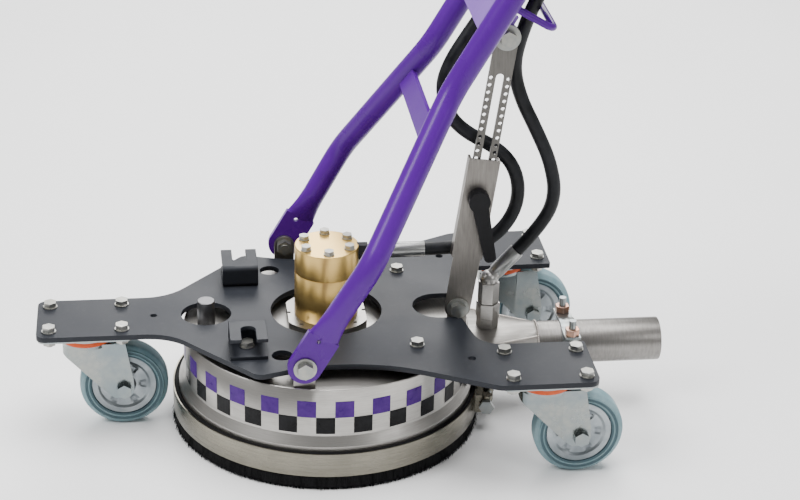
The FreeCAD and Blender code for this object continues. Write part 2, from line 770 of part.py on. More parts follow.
def make_outlet():
    wall = float(d.duct_wall)
    start = float(d.drum_radius) - 21.5
    drum = cylinder(d.drum_radius, 80.0, (0, 0, 45.0))
    skirt = cylinder(skirt_radius, d.step_top + 0.5 - 45.0, (0, 0, 45.0))
    spray = cylinder(5.0, 20.0, (0, injector_y, duct_top - 10))
    node("outlet_duct", cut(funnel(0.0, start), funnel(wall, start), drum, skirt, spray))

    tube = ring(d.tube_radius, d.tube_radius - d.tube_wall, d.tube_length,
                (0, duct_end, d.tube_z), "y")
    node("outlet_tube", tube)


def make_tube_clamp():
    """U-bolt under the tube, with a pressed saddle over it and two nuts."""
    start = clamp_y - d.clamp_width / 2
    leg = d.tube_radius + d.clamp_rod + 0.5
    ear_top = d.tube_z + d.tube_radius - 0.5
    arch = cylinder(d.tube_radius + d.clamp_wall, d.clamp_width, (0, start, d.tube_z), "y")
    ears = block(2 * leg + 16, d.clamp_width, d.clamp_wall, (0, clamp_y, ear_top - d.clamp_wall))
    below = block(120.0, 60.0, 60.0, (0, clamp_y, d.tube_z - 52.0))
    tube = cylinder(d.tube_radius + 0.02, 60.0, (0, start - 10, d.tube_z), "y")
    holes = [
        cylinder(d.clamp_rod + 0.2, 30.0, (side * leg, clamp_y, ear_top - 20))
        for side in (-1, 1)
    ]
    node("tube_saddle", cut(fuse(cut(arch, below), ears), tube, *holes))

    bend = doc.addObject("Part::Torus", "bend")
    bind(bend, "Radius1", leg)
    bind(bend, "Radius2", d.clamp_rod)
    bend.Angle3 = 180
    place(bend, (0, clamp_y, d.tube_z), "y")
    stud = ear_top + d.clamp_nut + 10 - d.tube_z
    legs = [cylinder(d.clamp_rod, stud, (side * leg, clamp_y, d.tube_z)) for side in (-1, 1)]
    node("tube_u_bolt", fuse(bend, *legs))
    nuts = [
        nut((side * leg, clamp_y, ear_top), radius=d.clamp_rod, flats=d.clamp_flats,
            height=d.clamp_nut)
        for side in (-1, 1)
    ]
    node("tube_nuts", group(*nuts))


# ---------------------------------------------------------------- high-pressure fittings

# the injector's elbow points up and rearwards
injector_top = duct_top + d.injector_low + d.injector_middle + d.injector_high
elbow_centre = Vector(0, float(injector_y), float(injector_top + d.elbow_rise))
elbow_way = Vector(0, 22.0, 25.0).normalize()
FERRULE_START = 12.0
FERRULE_END = 46.0


def aim_along(way):
    return Rotation(Vector(0, 0, 1), way)


def make_fittings():
    seat = d.brass_radius - 2
    inlet = fuse(
        hexagon(d.inlet_flats, 12.0, (0, seat, d.inlet_z), "y"),
        cylinder(7.0, 22.0 - 2.0, (0, seat + 2, d.inlet_z), "y"),
    )
    node("inlet_fitting", inlet)

    flats = d.injector_flats
    lower = duct_top + d.injector_low
    upper = lower + d.injector_middle
    spin = Rotation(Vector(0, 0, 1), 15)
    stack = fuse(
        hexagon(flats, d.injector_low, (0, injector_y, duct_top), spin),
        hexagon(flats + 1.5, d.injector_middle - 1.4, (0, injector_y, lower + 0.7), spin),
        cylinder(flats * 0.46, 1.4, (0, injector_y, lower - 0.3)),
        cylinder(flats * 0.46, 1.6, (0, injector_y, upper - 1.0)),
        hexagon(flats - 1.0, d.injector_high, (0, injector_y, upper), spin),
        sphere(10.6, elbow_centre),
        cylinder(8.0, FERRULE_START, elbow_centre, aim_along(elbow_way)),
    )
    node("injector_fitting", stack)

    start = elbow_centre + elbow_way * FERRULE_START
    ferrules = [
        cylinder(d.ferrule_radius, 54.0, (0, seat + 22, d.inlet_z), "y"),
        cylinder(d.ferrule_radius, FERRULE_END - FERRULE_START, start, aim_along(elbow_way)),
    ]
    node("hose_ferrules", group(*ferrules))


# ---------------------------------------------------------------- castors


def castor_places():
    return [
        (0.0, -front_castor_y),
        (rear_castor_x, rear_castor_y),
        (-rear_castor_x, rear_castor_y),
    ]


def make_castor(place_name, x, y):
    """Swivelling castor: top plate with its raceway and kingpin, fork with axle, rim and tyre."""
    plate_low = d.plate_bottom - d.castor_plate_thick
    race_low = plate_low - 8.0
    crown_top = race_low - 6.0
    crown_low = crown_top - 4.0
    holes = [
        (d.bolt_hole_radius, side * d.castor_hole_x, end * d.castor_hole_y)
        for side in (-1, 1) for end in (-1, 1)
    ]
    half_x, half_y = d.castor_plate_x / 2, d.castor_plate_y / 2
    outline = [
        (half_x, -half_y, 8.0), (half_x, half_y, 8.0), (-half_x, half_y, 8.0),
        (-half_x, -half_y, 8.0),
    ]
    plate = padded(outline, d.castor_plate_thick, (x, y, plate_low), circles=holes)
    kingpin = 6.0
    housing = fuse(
        plate,
        cylinder(d.raceway_radius, plate_low - race_low, (x, y, race_low)),
        cylinder(kingpin, race_low - crown_low + 0.3, (x, y, crown_low - 0.3)),
        cylinder(11.0, 3.0, (x, y, crown_low - 3.3)),
    )
    node(f"castor_plate_{place_name}", housing)

    wheel_y = y + d.castor_trail
    axle_z = d.wheel_radius
    crown = ring(d.raceway_radius - 2, kingpin + RUN, crown_top - crown_low, (x, y, crown_low))
    eye, trail = d.fork_eye, d.castor_trail
    side = [
        (-d.fork_front - 2, crown_top - axle_z, 0),
        (-d.fork_front - 2, crown_top - axle_z - 14.0, 8.0),
        (trail - eye, -eye, eye - 0.5),
        (trail + eye, -eye, eye - 0.5),
        (trail + eye, 10.0, 14.0),
        (trail + 3.0, crown_top - axle_z, 0),
    ]
    flank = padded(side, 80.0, (x - 40.0, y, axle_z), plane="YZ_Plane")
    wall, outer = d.fork_wall, d.fork_gap + d.fork_wall
    rear = trail + eye + 5
    plan = [
        (outer, rear, 0), (outer, 18.0, 6.0), (12.0, -d.fork_front, 8.0),
        (-12.0, -d.fork_front, 8.0), (-outer, 18.0, 6.0), (-outer, rear, 0),
        (wall - outer, rear, 0), (wall - outer, 18.0 + wall / 5, 4.0),
        (-10.0, wall - d.fork_front, 5.5), (10.0, wall - d.fork_front, 5.5),
        (outer - wall, 18.0 + wall / 5, 4.0), (outer - wall, rear, 0),
    ]
    low = axle_z - eye - 1
    horn = common(padded(plan, crown_top - low, (x, y, low)), flank)
    axle_hole = cylinder(d.axle_radius, 60.0, (x - 30, wheel_y, axle_z), "x")
    fork = cut(fuse(crown, horn), axle_hole)
    reach = d.fork_gap + d.fork_wall
    axle = fuse(
        cylinder(d.axle_radius, 2 * reach, (x - reach, wheel_y, axle_z), "x"),
        cylinder(9.0, 1.5, (x + reach, wheel_y, axle_z), "x"),
        hexagon(d.axle_flats, 6.0, (x + reach + 1.5, wheel_y, axle_z), "x"),
        cylinder(9.0, 1.5, (x - reach - 1.5, wheel_y, axle_z), "x"),
        hexagon(d.axle_flats, 6.0, (x - reach - 7.5, wheel_y, axle_z), "x"),
    )
    node(f"castor_fork_{place_name}", group(fork, axle))

    hub = d.fork_gap - 0.2
    rim_radius = d.wheel_radius - 13.5
    web = 9.5
    rim = revolved([
        (d.axle_radius + RUN, -hub, 0),
        (11.0, -hub, 0),
        (12.5, -web, 2.0),
        (27.0, -web, 2.0),
        (30.0, -web - 2, 2.0),
        (rim_radius, -web - 2, 1.0),
        (rim_radius, web + 2, 1.0),
        (30.0, web + 2, 2.0),
        (27.0, web, 2.0),
        (12.5, web, 2.0),
        (11.0, hub, 0),
        (d.axle_radius + RUN, hub, 0),
    ], (x, wheel_y, axle_z), "x")
    node(f"wheel_rim_{place_name}", rim)

    half = d.wheel_width / 2
    tyre = revolved([
        (rim_radius, -half + 1, 1.0),
        (d.wheel_radius - 6, -half, 3.0),
        (d.wheel_radius - 0.4, -half + 5, 4.0),
        (d.wheel_radius, 0.0, 60.0),
        (d.wheel_radius - 0.4, half - 5, 4.0),
        (d.wheel_radius - 6, half, 3.0),
        (rim_radius, half - 1, 1.0),
    ], (x, wheel_y, axle_z), "x")
    node(f"tyre_{place_name}", tyre)
    return ring(d.raceway_radius - 0.5, 20.0, 6.0 - GAP, (x, y, race_low - 6.0 + GAP))


def make_castors():
    seals = [
        make_castor(name, x, y)
        for name, (x, y) in zip(("front", "right", "left"), castor_places())
    ]
    node("castor_seals", group(*seals))


# ---------------------------------------------------------------- handle


def in_handle(x, along, out=0.0):
    """Point of the handle's frame."""
    return Vector(float(x), float(along), float(out))


flat_x = lug_inner + d.lug_thick + GAP + d.flat_thick / 2


def make_handle_lugs():
    """Upright ears on the lid's edge, with the bolts that the handle turns on."""
    top = d.pivot_z - d.lid_top
    outline = [
        (-d.lug_half, 0.0, 0),
        (d.lug_half, 0.0, 0),
        (d.lug_half, top + d.lug_half, d.lug_half - 0.2),
        (-d.lug_half, top + d.lug_half, d.lug_half - 0.2),
    ]
    hole = (d.pivot_bolt_radius + 0.1, 0.0, top)
    lugs = [
        padded(outline, d.lug_thick, (inner, d.pivot_y, d.lid_top), circles=[hole],
               plane="YZ_Plane")
        for inner in (lug_inner, -lug_inner - d.lug_thick)
    ]
    node("handle_lugs", group(*lugs))

    strut_top = d.strut_z - d.lid_top
    strut_outline = [
        (-11.0, 0.0, 0),
        (11.0, 0.0, 0),
        (11.0, strut_top + 11.0, 10.8),
        (-11.0, strut_top + 11.0, 10.8),
    ]
    lug = padded(strut_outline, d.lug_thick, (d.strut_web - GAP - d.lug_thick, strut_y, d.lid_top),
                 circles=[(d.pivot_bolt_radius + 0.1, 0.0, strut_top)], plane="YZ_Plane")
    node("strut_lug", lug)

    pieces = []
    flat_outer = flat_x + d.flat_thick / 2 + GAP
    for side, aim in ((1, "x"), (-1, Rotation(Vector(0, 1, 0), -90))):
        pivot = (side * flat_outer, d.pivot_y, d.pivot_z)
        grip = flat_outer - lug_inner + 10
        pieces.append(pivot_bolt(pivot, grip, aim))
        nut_at = (side * lug_inner, d.pivot_y, d.pivot_z)
        back = Rotation(Vector(0, 1, 0), -90) if side > 0 else AIM["x"]
        pieces.append(nut(nut_at, back, radius=d.pivot_bolt_radius, flats=d.pivot_flats,
                          height=d.pivot_nut))
    web_outer = d.strut_web + d.strut_wall + GAP
    pieces.append(pivot_bolt((web_outer, strut_y, d.strut_z), 20.0, "x"))
    lug_back = (d.strut_web - GAP - d.lug_thick, strut_y, d.strut_z)
    pieces.append(nut(lug_back, Rotation(Vector(0, 1, 0), -90), radius=d.pivot_bolt_radius,
                      flats=d.pivot_flats, height=d.pivot_nut))
    node("pivot_bolts", group(*pieces))


def pivot_bolt(at, grip, aim, frame=DRUM, radius=d.pivot_bolt_radius, washer=12.5):
    """Bolt with a broad washer under its head."""
    turn = AIM[aim] if isinstance(aim, str) else aim
    seat = frame * Placement(Vector(*[float(c) for c in at]), turn)
    return fuse(
        cylinder(washer, 2.4, (0, 0, 0), frame=seat),
        hexagon(d.pivot_flats, 7.0, (0, 0, 2.4), frame=seat),
        cylinder(radius, grip, (0, 0, -grip), frame=seat),
    )


def tube_path(side, end):
    """Centre line of a handle tube: outwards to the knee, in to the neck, then straight."""
    points = [
        in_handle(side * (flat_x + 0.7), 72.0),
        in_handle(side * knee_x, d.knee_s),
        in_handle(side * d.neck_x, d.neck_s),
        in_handle(side * (d.neck_x - 1.0), end),
    ]
    return rounded_path(points, [70.0, 90.0])


def ellipse_wire(x, along, across, thick):
    """Upright ellipse of a tube's flattened stretch."""
    centre = in_handle(x, along)
    ellipse = Part.Ellipse(centre, float(across), float(thick))
    edge = ellipse.toShape()
    edge.rotate(centre, Vector(1, 0, 0), 90)
    edge.rotate(centre, Vector(0, 1, 0), 90)
    return Part.Wire(edge)


def outer_tube(side):
    return tube_along(tube_path(side, d.handle_length), float(d.handle_tube_radius))


def make_handle_tubes():
    """Round tubes whose lower ends are pressed flat and drilled for the pivot bolts."""
    bar = Part.makeCylinder(float(d.handle_tube_radius), 400.0,
                            in_handle(-200.0, d.handle_length), Vector(1, 0, 0))
    for name, side in (("handle_tube_right", 1), ("handle_tube_left", -1)):
        bore = tube_along(tube_path(side, d.handle_length + 1),
                          float(d.handle_tube_radius - d.handle_tube_wall))
        x = side * flat_x
        thick = float(d.flat_thick)
        half = float(d.flat_half)
        length = float(d.flat_length)
        slab = Part.makeBox(thick, length, 2 * half, Vector(x - thick / 2, 0, -half))
        round_end = Part.makeCylinder(half, thick, Vector(x - thick / 2, 0, 0), Vector(1, 0, 0))
        start = tube_path(side, d.handle_length).OrderedEdges[0]
        mouth = Part.makeCircle(float(d.handle_tube_radius), start.valueAt(start.FirstParameter),
                                start.tangentAt(start.FirstParameter))
        blend = Part.makeLoft([
            ellipse_wire(x, length - 4, half, thick / 2 - 0.1),
            ellipse_wire(side * (flat_x + 0.4), length + 14, half - 3.6, thick / 2 + 5.5),
            Part.Wire(mouth),
        ], True)
        hole = Part.makeCylinder(float(d.pivot_bolt_radius) + RUN, 30.0, Vector(x - 15, 0, 0),
                                 Vector(1, 0, 0))
        drain = Part.makeCylinder(2.5, 30.0, Vector(x - 15, length - 6, 3), Vector(1, 0, 0))
        tube = outer_tube(side).fuse([slab, round_end, blend]).cut([bore, hole, drain, bar])
        node(name, feature(tube, HANDLE))


def make_handle_bars():
    """Flat cross bar, panel with the strut's ear, hose guide, valve bar and handlebar."""
    tubes = feature(outer_tube(1).fuse(outer_tube(-1)), HANDLE)
    tubes.Label = "handle_tube_outsides"

    bar = block(2 * knee_x - 120, d.cross_bar_width, d.cross_bar_thick,
                (0, d.cross_bar_s, -d.cross_bar_thick / 2), HANDLE)
    trim = [
        block(60.0, 80.0, 60.0, (side * 132.0, d.cross_bar_s, -30), HANDLE) for side in (-1, 1)
    ]
    node("cross_bar", cut(bar, tubes, *trim))

    pivot = in_handle_strut_pivot()
    ear_x = d.strut_web - d.slider_thick - 2 * GAP - d.lug_thick
    panel = block(2 * d.neck_x - 2, d.panel_length, d.panel_thick,
                  (0, d.panel_start + d.panel_length / 2, -d.panel_thick / 2), HANDLE)
    ear = fuse(
        block(d.lug_thick, 28.0, -pivot.z, (ear_x + d.lug_thick / 2, d.panel_start + 14, pivot.z),
              HANDLE),
        cylinder(14.0, d.lug_thick, (ear_x, pivot.y, pivot.z), "x", HANDLE),
    )
    hole = cylinder(d.top_bolt_radius, 30.0, (ear_x - 5, pivot.y, pivot.z), "x", HANDLE)
    tail = [block(30.0, d.panel_length + 40, 40.0, (side * 89.0, d.panel_start + 80, -20), HANDLE)
            for side in (-1, 1)]
    node("handle_panel", cut(fuse(panel, ear), hole, tubes, *tail))
    washer_x = d.strut_web - GAP + 0.1
    bolt_top = pivot_bolt((washer_x, pivot.y, pivot.z), washer_x - ear_x + 9.0, "x", HANDLE,
                          d.top_bolt_radius, 14.5)
    back = nut((ear_x, pivot.y, pivot.z), Rotation(Vector(0, 1, 0), -90), HANDLE,
               d.top_bolt_radius, d.top_bolt_flats, 8.0)
    node("strut_top_bolt", group(bolt_top, back))

    half, depth = d.guide_half, d.guide_depth
    loop = rounded_path([
        in_handle(half, d.guide_s, 0.0), in_handle(half, d.guide_s, -depth),
        in_handle(-half, d.guide_s, -depth), in_handle(-half, d.guide_s, 0.0),
    ], [14.0, 14.0])
    node("hose_guide", cut(feature(tube_along(loop, float(d.guide_rod)), HANDLE), tubes))

    valve_bar = block(2 * d.neck_x - 4, d.valve_length - 3, 6.0,
                      (0, d.valve_s + d.valve_length / 2, -8), HANDLE)
    valve_trim = [block(30.0, 80.0, 60.0, (side * 88.0, d.valve_s + 20, -30), HANDLE)
                  for side in (-1, 1)]
    node("valve_bar", cut(valve_bar, tubes, *valve_trim))

    reach = d.handlebar_half
    node("handlebar", ring(d.handle_tube_radius, d.handle_tube_radius - d.handle_tube_wall,
                           2 * reach, (-reach, d.handle_length, 0), "x", HANDLE))
    grips = []
    outer = d.handle_tube_radius + d.grip_wall
    for side in (1, -1):
        start = reach - d.grip_length + 6 if side > 0 else -reach - 6
        sleeve = cylinder(outer, d.grip_length, (start, d.handle_length, 0), "x", HANDLE)
        bore_start = -reach if side < 0 else reach - d.grip_length
        bore = cylinder(d.handle_tube_radius, d.grip_length,
                        (bore_start, d.handle_length, 0), "x", HANDLE)
        grips.append(cut(sleeve, bore))
    node("grips", group(*grips))


def in_handle_strut_pivot():
    """The strut's upper pivot, carried from the strut's frame into the handle's."""
    return HANDLE.inverse().multVec(STRUT.multVec(Vector(0, float(d.strut_length), 0)))


def make_valve():
    """Dump valve with its two hose outlets, the supply stub and the dead-man lever."""
    front = -8.0
    middle = d.valve_s + d.valve_length / 2
    body = block(2 * d.valve_half, d.valve_length, d.valve_depth,
                 (0, middle, front - d.valve_depth), HANDLE)
    lever_at = (d.valve_s + d.valve_length - 10, front - 14.0)
    pins = cylinder(4.0, 2 * d.valve_half + 12,
                    (-d.valve_half - 6, lever_at[0], lever_at[1]), "x", HANDLE)
    stub = cylinder(d.supply_radius, d.supply_length, (0, middle, front - d.valve_depth),
                    "down", HANDLE)
    bore = cylinder(d.supply_radius - 5, d.supply_length + 10,
                    (0, middle, front - d.valve_depth + 10), "down", HANDLE)
    node("valve_block", cut(fuse(body, pins, stub), bore))
    ferrules = [
        cylinder(d.ferrule_radius, d.valve_s - HOSE_TOP, (x, HOSE_TOP, HOSE_OUT), "y", HANDLE)
        for x in (-22.0, 22.0)
    ]
    node("valve_ferrules", group(*ferrules))

    rod_at = (float(d.handle_length), -45.0)
    rod = cylinder(5.0, 300.0, (-150.0, rod_at[0], rod_at[1]), "x", HANDLE)
    arms = []
    run = math.hypot(rod_at[0] - float(lever_at[0]), rod_at[1] - float(lever_at[1]))
    slope = math.degrees(math.atan2(rod_at[1] - float(lever_at[1]),
                                    rod_at[0] - float(lever_at[0])))
    for side in (-1, 1):
        x = side * (d.valve_half + 2.6)
        seat = HANDLE * Placement(Vector(float(x), float(lever_at[0]), float(lever_at[1])),
                                  Rotation(Vector(1, 0, 0), slope))
        arms.append(block(4.0, run, 13.0, (0, run / 2, -6.5), seat))
        arms.append(cylinder(7.5, 4.0, (-2.0, 0, 0), "x", seat))
    eyes = cylinder(4.0 + RUN, 120.0, (-60.0, lever_at[0], lever_at[1]), "x", HANDLE)
    node("trigger_lever", cut(fuse(rod, *arms), eyes))


# ---------------------------------------------------------------- adjusting strut


def make_strut():
    """Channel on the lower pivot, slotted plate that slides in it, and a clamp lever."""
    web, wall = d.strut_web, d.strut_wall
    narrow = 14.5
    outline = [
        (-narrow, -narrow, narrow - 0.3),
        (d.sleeve_length, -d.sleeve_half, 0),
        (d.sleeve_length, d.sleeve_half, 0),
        (-narrow, narrow, narrow - 0.3),
    ]
    holes = [(d.pivot_bolt_radius + RUN, 0.0, 0.0), (d.stud_radius + RUN, d.clamp_at, 0.0)]
    face = padded(outline, wall, (web, 0, 0), frame=STRUT, circles=holes, plane="YZ_Plane")
    depth = web + wall - 12.0
    flange_start = 62.0
    flanges = [
        block(depth, d.sleeve_length - flange_start, wall, (
            12.0 + depth / 2, (d.sleeve_length + flange_start) / 2, z,
        ), STRUT)
        for z in (d.sleeve_half - wall, -d.sleeve_half)
    ]
    back = block(wall, 60.0, 2 * d.sleeve_half, (
        12.0 + wall / 2, d.clamp_at, -d.sleeve_half,
    ), STRUT)
    back_hole = cylinder(d.stud_radius + RUN, 20.0, (5.0, d.clamp_at, 0), "x", STRUT)
    node("strut_arm", cut(fuse(face, *flanges, back), back_hole))

    slider_x = web - GAP - d.slider_thick
    top = d.strut_length
    half = d.slider_half
    plate_outline = [
        (d.slider_foot, -half, 2.0),
        (top + half, -half, half - 0.3),
        (top + half, half, half - 0.3),
        (d.slider_foot, half, 2.0),
    ]
    rows = [
        (d.row_radius, d.slot_start + 1 + d.row_pitch * i, side * d.row_offset)
        for i in range(20) for side in (-1, 1)
    ]
    plate = padded(plate_outline, d.slider_thick, (slider_x, 0, 0), frame=STRUT,
                   circles=rows + [(d.open_pivot_radius, top, 0.0)], plane="YZ_Plane")
    slot_x = slider_x - 1
    long_side = d.slot_end - d.slot_start - 2 * d.slot_half
    slot_middle = (d.slot_start + d.slot_end) / 2
    slot = fuse(
        block(d.slider_thick + 2, long_side, 2 * d.slot_half,
              (slot_x + d.slider_thick / 2 + 1, slot_middle, -d.slot_half), STRUT),
        cylinder(d.slot_half, d.slider_thick + 2,
                 (slot_x, d.slot_start + d.slot_half, 0), "x", STRUT),
        cylinder(d.slot_half, d.slider_thick + 2,
                 (slot_x, d.slot_end - d.slot_half, 0), "x", STRUT),
    )
    node("strut_slider", cut(plate, slot))

    face_x = web + wall + GAP
    seat = STRUT * Placement(Vector(float(face_x), float(d.clamp_at), 0),
                             Rotation(Vector(1, 0, 0), float(d.lever_tilt)))
    lever = fuse(
        cylinder(12.0, 14.0, (0, 0, 0), "x", seat),
        padded([
            (0.0, -9.0, 6.0), (d.lever_length, -d.lever_half, 5.5),
            (d.lever_length, d.lever_half, 5.5), (0.0, 9.0, 6.0),
        ], 9.0, (3.5, 0, 0), frame=seat, plane="YZ_Plane"),
        cylinder(d.stud_radius, face_x - 4.0, (6.0 - face_x, 0, 0), "x", seat),
    )
    node("clamp_lever", lever)
    clamp_nut = nut((12.0, d.clamp_at, 0), Rotation(Vector(0, 1, 0), -90), STRUT,
                    d.stud_radius + RUN, d.bolt_flats, 6.0)
    node("clamp_nut", clamp_nut)


# ---------------------------------------------------------------- hoses

HOSE_TOP = 760.0     # where the hoses end along the handle, in their upper ferrules
HOSE_OUT = -20.0     # how far behind the handle's plane they end


def on_handle(x, along, out):
    """Point behind the handle, in the drum's frame."""
    place_there = DRUM.inverse() * HANDLE
    return place_there.multVec(in_handle(x, along, out))


inlet_route = [
    Vector(0, 110, float(d.inlet_z)), Vector(0, 167.7, float(d.inlet_z)), Vector(-2, 198.2, 221.5),
    Vector(-4, 215.4, 252.4), Vector(-5, 214.6, 287.8), Vector(-7, 195.9, 317.9),
    Vector(-10, 146.5, 343.7), Vector(-12, 127.8, 374.2), Vector(-14, 127.3, 410),
    Vector(-19, 162.7, 465.7), Vector(-22, 205, 525), Vector(-21, 255, 616), Vector(-22, 300, 693),
    on_handle(-22, HOSE_TOP - 45, HOSE_OUT), on_handle(-22, HOSE_TOP, HOSE_OUT),
]
injector_route = [
    elbow_centre + elbow_way * FERRULE_END, elbow_centre + elbow_way * (FERRULE_END + 40),
    Vector(3, 257, 264), Vector(2, 249, 306), Vector(1, 231, 345), Vector(0, 211, 384),
    Vector(-1, 202, 420), Vector(2, 208, 456), Vector(8, 221, 498), Vector(14, 258, 574),
    Vector(19, 292, 650), Vector(21, 313.5, 700), on_handle(22, HOSE_TOP - 45, HOSE_OUT),
    on_handle(22, HOSE_TOP, HOSE_OUT),
]


def make_hose(name, route):
    """Wire-braided hose along its route, each bend as wide as its two runs allow."""
    radii = []
    for before, here, after in zip(route, route[1:], route[2:]):
        run = min((here - before).Length, (after - here).Length)
        turn = (here - before).getAngle(after - here)
        radii.append(0.45 * run / math.tan(turn / 2))
    path = rounded_path(route, radii)
    print(name, "length", round(path.Length), "tightest bend", round(min(radii)),
          "mm; all", [round(r) for r in radii])
    tube = tube_along(path, float(d.hose_radius))
    section = math.pi * float(d.hose_radius) ** 2
    print(name, "volume over section times length", round(tube.Volume / section / path.Length, 4))
    node(name, feature(tube))


# ---------------------------------------------------------------- build, check and write


make_drum()
make_brush()
make_frame_plate()
make_spacers()
make_brackets()
make_stop_pin()
make_frame_bolts()
make_swivel()
make_rotor()
make_outlet()
make_tube_clamp()
make_fittings()
make_castors()
make_handle_lugs()
make_handle_tubes()
make_handle_bars()
make_valve()
make_strut()
make_hose("inlet_hose", inlet_route)
make_hose("injector_hose", injector_route)
doc.recompute()

for obj in doc.Objects:
    if "Invalid" in obj.State or "Error" in obj.State:
        raise RuntimeError(f"{obj.Name} ({obj.Label}) did not build: {obj.State}")

os.makedirs("parts", exist_ok=True)
for name, obj in nodes.items():
    shape = obj.Shape
    if shape.isNull() or not shape.isValid() or not shape.Solids:
        raise RuntimeError(f"{name} has no valid shape")
    shape.exportStep(f"parts/{name}.step")
print(len(nodes), "nodes")
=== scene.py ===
"""Looks of the rotary surface cleaner: procedural materials on the CAD nodes, plus the hoses,
bristles, drum tape and weld beads.  Metres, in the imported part's frame."""

import bpy
import bmesh
import math
import random
from mathutils.bvhtree import BVHTree
from mathutils import Matrix, Vector


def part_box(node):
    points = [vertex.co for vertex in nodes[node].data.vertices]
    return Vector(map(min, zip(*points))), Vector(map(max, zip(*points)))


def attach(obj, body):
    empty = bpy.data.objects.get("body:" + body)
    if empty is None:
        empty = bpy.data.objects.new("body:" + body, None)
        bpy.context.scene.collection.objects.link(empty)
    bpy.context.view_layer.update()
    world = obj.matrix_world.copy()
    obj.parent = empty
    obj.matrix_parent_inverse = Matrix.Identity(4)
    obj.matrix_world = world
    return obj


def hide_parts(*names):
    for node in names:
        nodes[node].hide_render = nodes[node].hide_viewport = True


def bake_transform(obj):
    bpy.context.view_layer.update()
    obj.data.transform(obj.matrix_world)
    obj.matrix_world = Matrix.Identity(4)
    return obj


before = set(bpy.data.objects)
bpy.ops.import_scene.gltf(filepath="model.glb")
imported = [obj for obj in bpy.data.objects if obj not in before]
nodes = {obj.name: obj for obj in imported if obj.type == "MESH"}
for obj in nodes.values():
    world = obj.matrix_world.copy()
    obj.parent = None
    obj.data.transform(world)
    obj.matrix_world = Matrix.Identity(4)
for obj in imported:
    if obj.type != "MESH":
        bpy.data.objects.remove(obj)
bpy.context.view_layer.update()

MM = 0.001


def middle(node):
    low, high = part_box(node)
    return (low + high) / 2


DRUM = middle("drum_shell")
DRUM_RADIUS = 161.5 * MM


def at(x, y, z):
    """Point given in millimetres from the drum's axis and the floor."""
    return Vector((x * MM, y * MM + DRUM.y, z * MM))


# ---------------------------------------------------------------- camera


# Fitted to the photo: radians, and millimetres from the drum's axis and the floor.
CAMERA_YAW, CAMERA_PITCH, CAMERA_ROLL = -0.135, 0.446, 0.026
CAMERA_PLACE = (2068.9, -198.2, 1201.0)
CAMERA_LENS = 92.57
SENSOR_WIDTH = 36.0


def make_camera():
    yaw, pitch, roll = CAMERA_YAW, CAMERA_PITCH, CAMERA_ROLL
    right = Vector((-math.sin(yaw), math.cos(yaw), 0))
    level_back = Vector((math.cos(yaw), math.sin(yaw), 0))
    up = Vector((0, 0, 1))
    back = level_back * math.cos(pitch) + up * math.sin(pitch)
    above = up * math.cos(pitch) - level_back * math.sin(pitch)
    axis_x = right * math.cos(roll) + above * math.sin(roll)
    axis_y = above * math.cos(roll) - right * math.sin(roll)
    camera = bpy.data.objects.new("camera", bpy.data.cameras.new("camera"))
    camera.data.lens = CAMERA_LENS
    camera.data.sensor_width = SENSOR_WIDTH
    turn = Matrix((axis_x, axis_y, back)).transposed().to_4x4()
    camera.matrix_world = Matrix.Translation(at(*CAMERA_PLACE)) @ turn
    bpy.context.scene.collection.objects.link(camera)
    bpy.context.scene.camera = camera


make_camera()

# ---------------------------------------------------------------- hoses

# The handle's own frame, at rest: tilt, and its pivot's y and z in millimetres.
HANDLE_TILT = math.radians(60)
PIVOT = (-37.0, 143.0)

HOSE_RADIUS = 7.75 * MM
# Where the hoses end under the valve block, in millimetres of the handle's frame.
HOSE_TOP = 760.0
HOSE_OUT = -20.0
HOSE_SPREAD = 22.0
HOSE_STRAIGHT = 45.0


def on_handle(x, along, out):
    """Point in the handle's own frame: across, up along it, and out of its front face."""
    pivot_y, pivot_z = PIVOT
    y = pivot_y + along * math.cos(HANDLE_TILT) - out * math.sin(HANDLE_TILT)
    z = pivot_z + along * math.sin(HANDLE_TILT) + out * math.cos(HANDLE_TILT)
    return at(x, y, z)


# The injector's elbow: its centre, the way it points, and how far along it the ferrule ends
# and the hose stays straight.
ELBOW = Vector((0, 186, 163))
ELBOW_WAY = Vector((0, 22.0, 25.0)).normalized()
FERRULE_REACH = 46
ELBOW_STRAIGHT = 86

inlet_route = [
    at(0, 110, 203.5), at(0, 167.7, 203.5), at(-2, 198.2, 221.5),
    at(-4, 215.4, 252.4), at(-5, 214.6, 287.8), at(-7, 195.9, 317.9),
    at(-10, 146.5, 343.7), at(-12, 127.8, 374.2), at(-14, 127.3, 410),
    at(-19, 162.7, 465.7), at(-22, 205, 525), at(-21, 255, 616), at(-22, 300, 693),
    on_handle(-HOSE_SPREAD, HOSE_TOP - HOSE_STRAIGHT, HOSE_OUT),
    on_handle(-HOSE_SPREAD, HOSE_TOP, HOSE_OUT),
]
injector_route = [
    at(*(ELBOW + ELBOW_WAY * FERRULE_REACH)), at(*(ELBOW + ELBOW_WAY * ELBOW_STRAIGHT)),
    at(3, 257, 264), at(2, 249, 306), at(1, 231, 345), at(0, 211, 384),
    at(-1, 202, 420), at(2, 208, 456), at(8, 221, 498), at(14, 258, 574),
    at(19, 292, 650), at(21, 313.5, 700),
    on_handle(HOSE_SPREAD, HOSE_TOP - HOSE_STRAIGHT, HOSE_OUT),
    on_handle(HOSE_SPREAD, HOSE_TOP, HOSE_OUT),
]


def link(obj):
    bpy.context.scene.collection.objects.link(obj)
    return obj


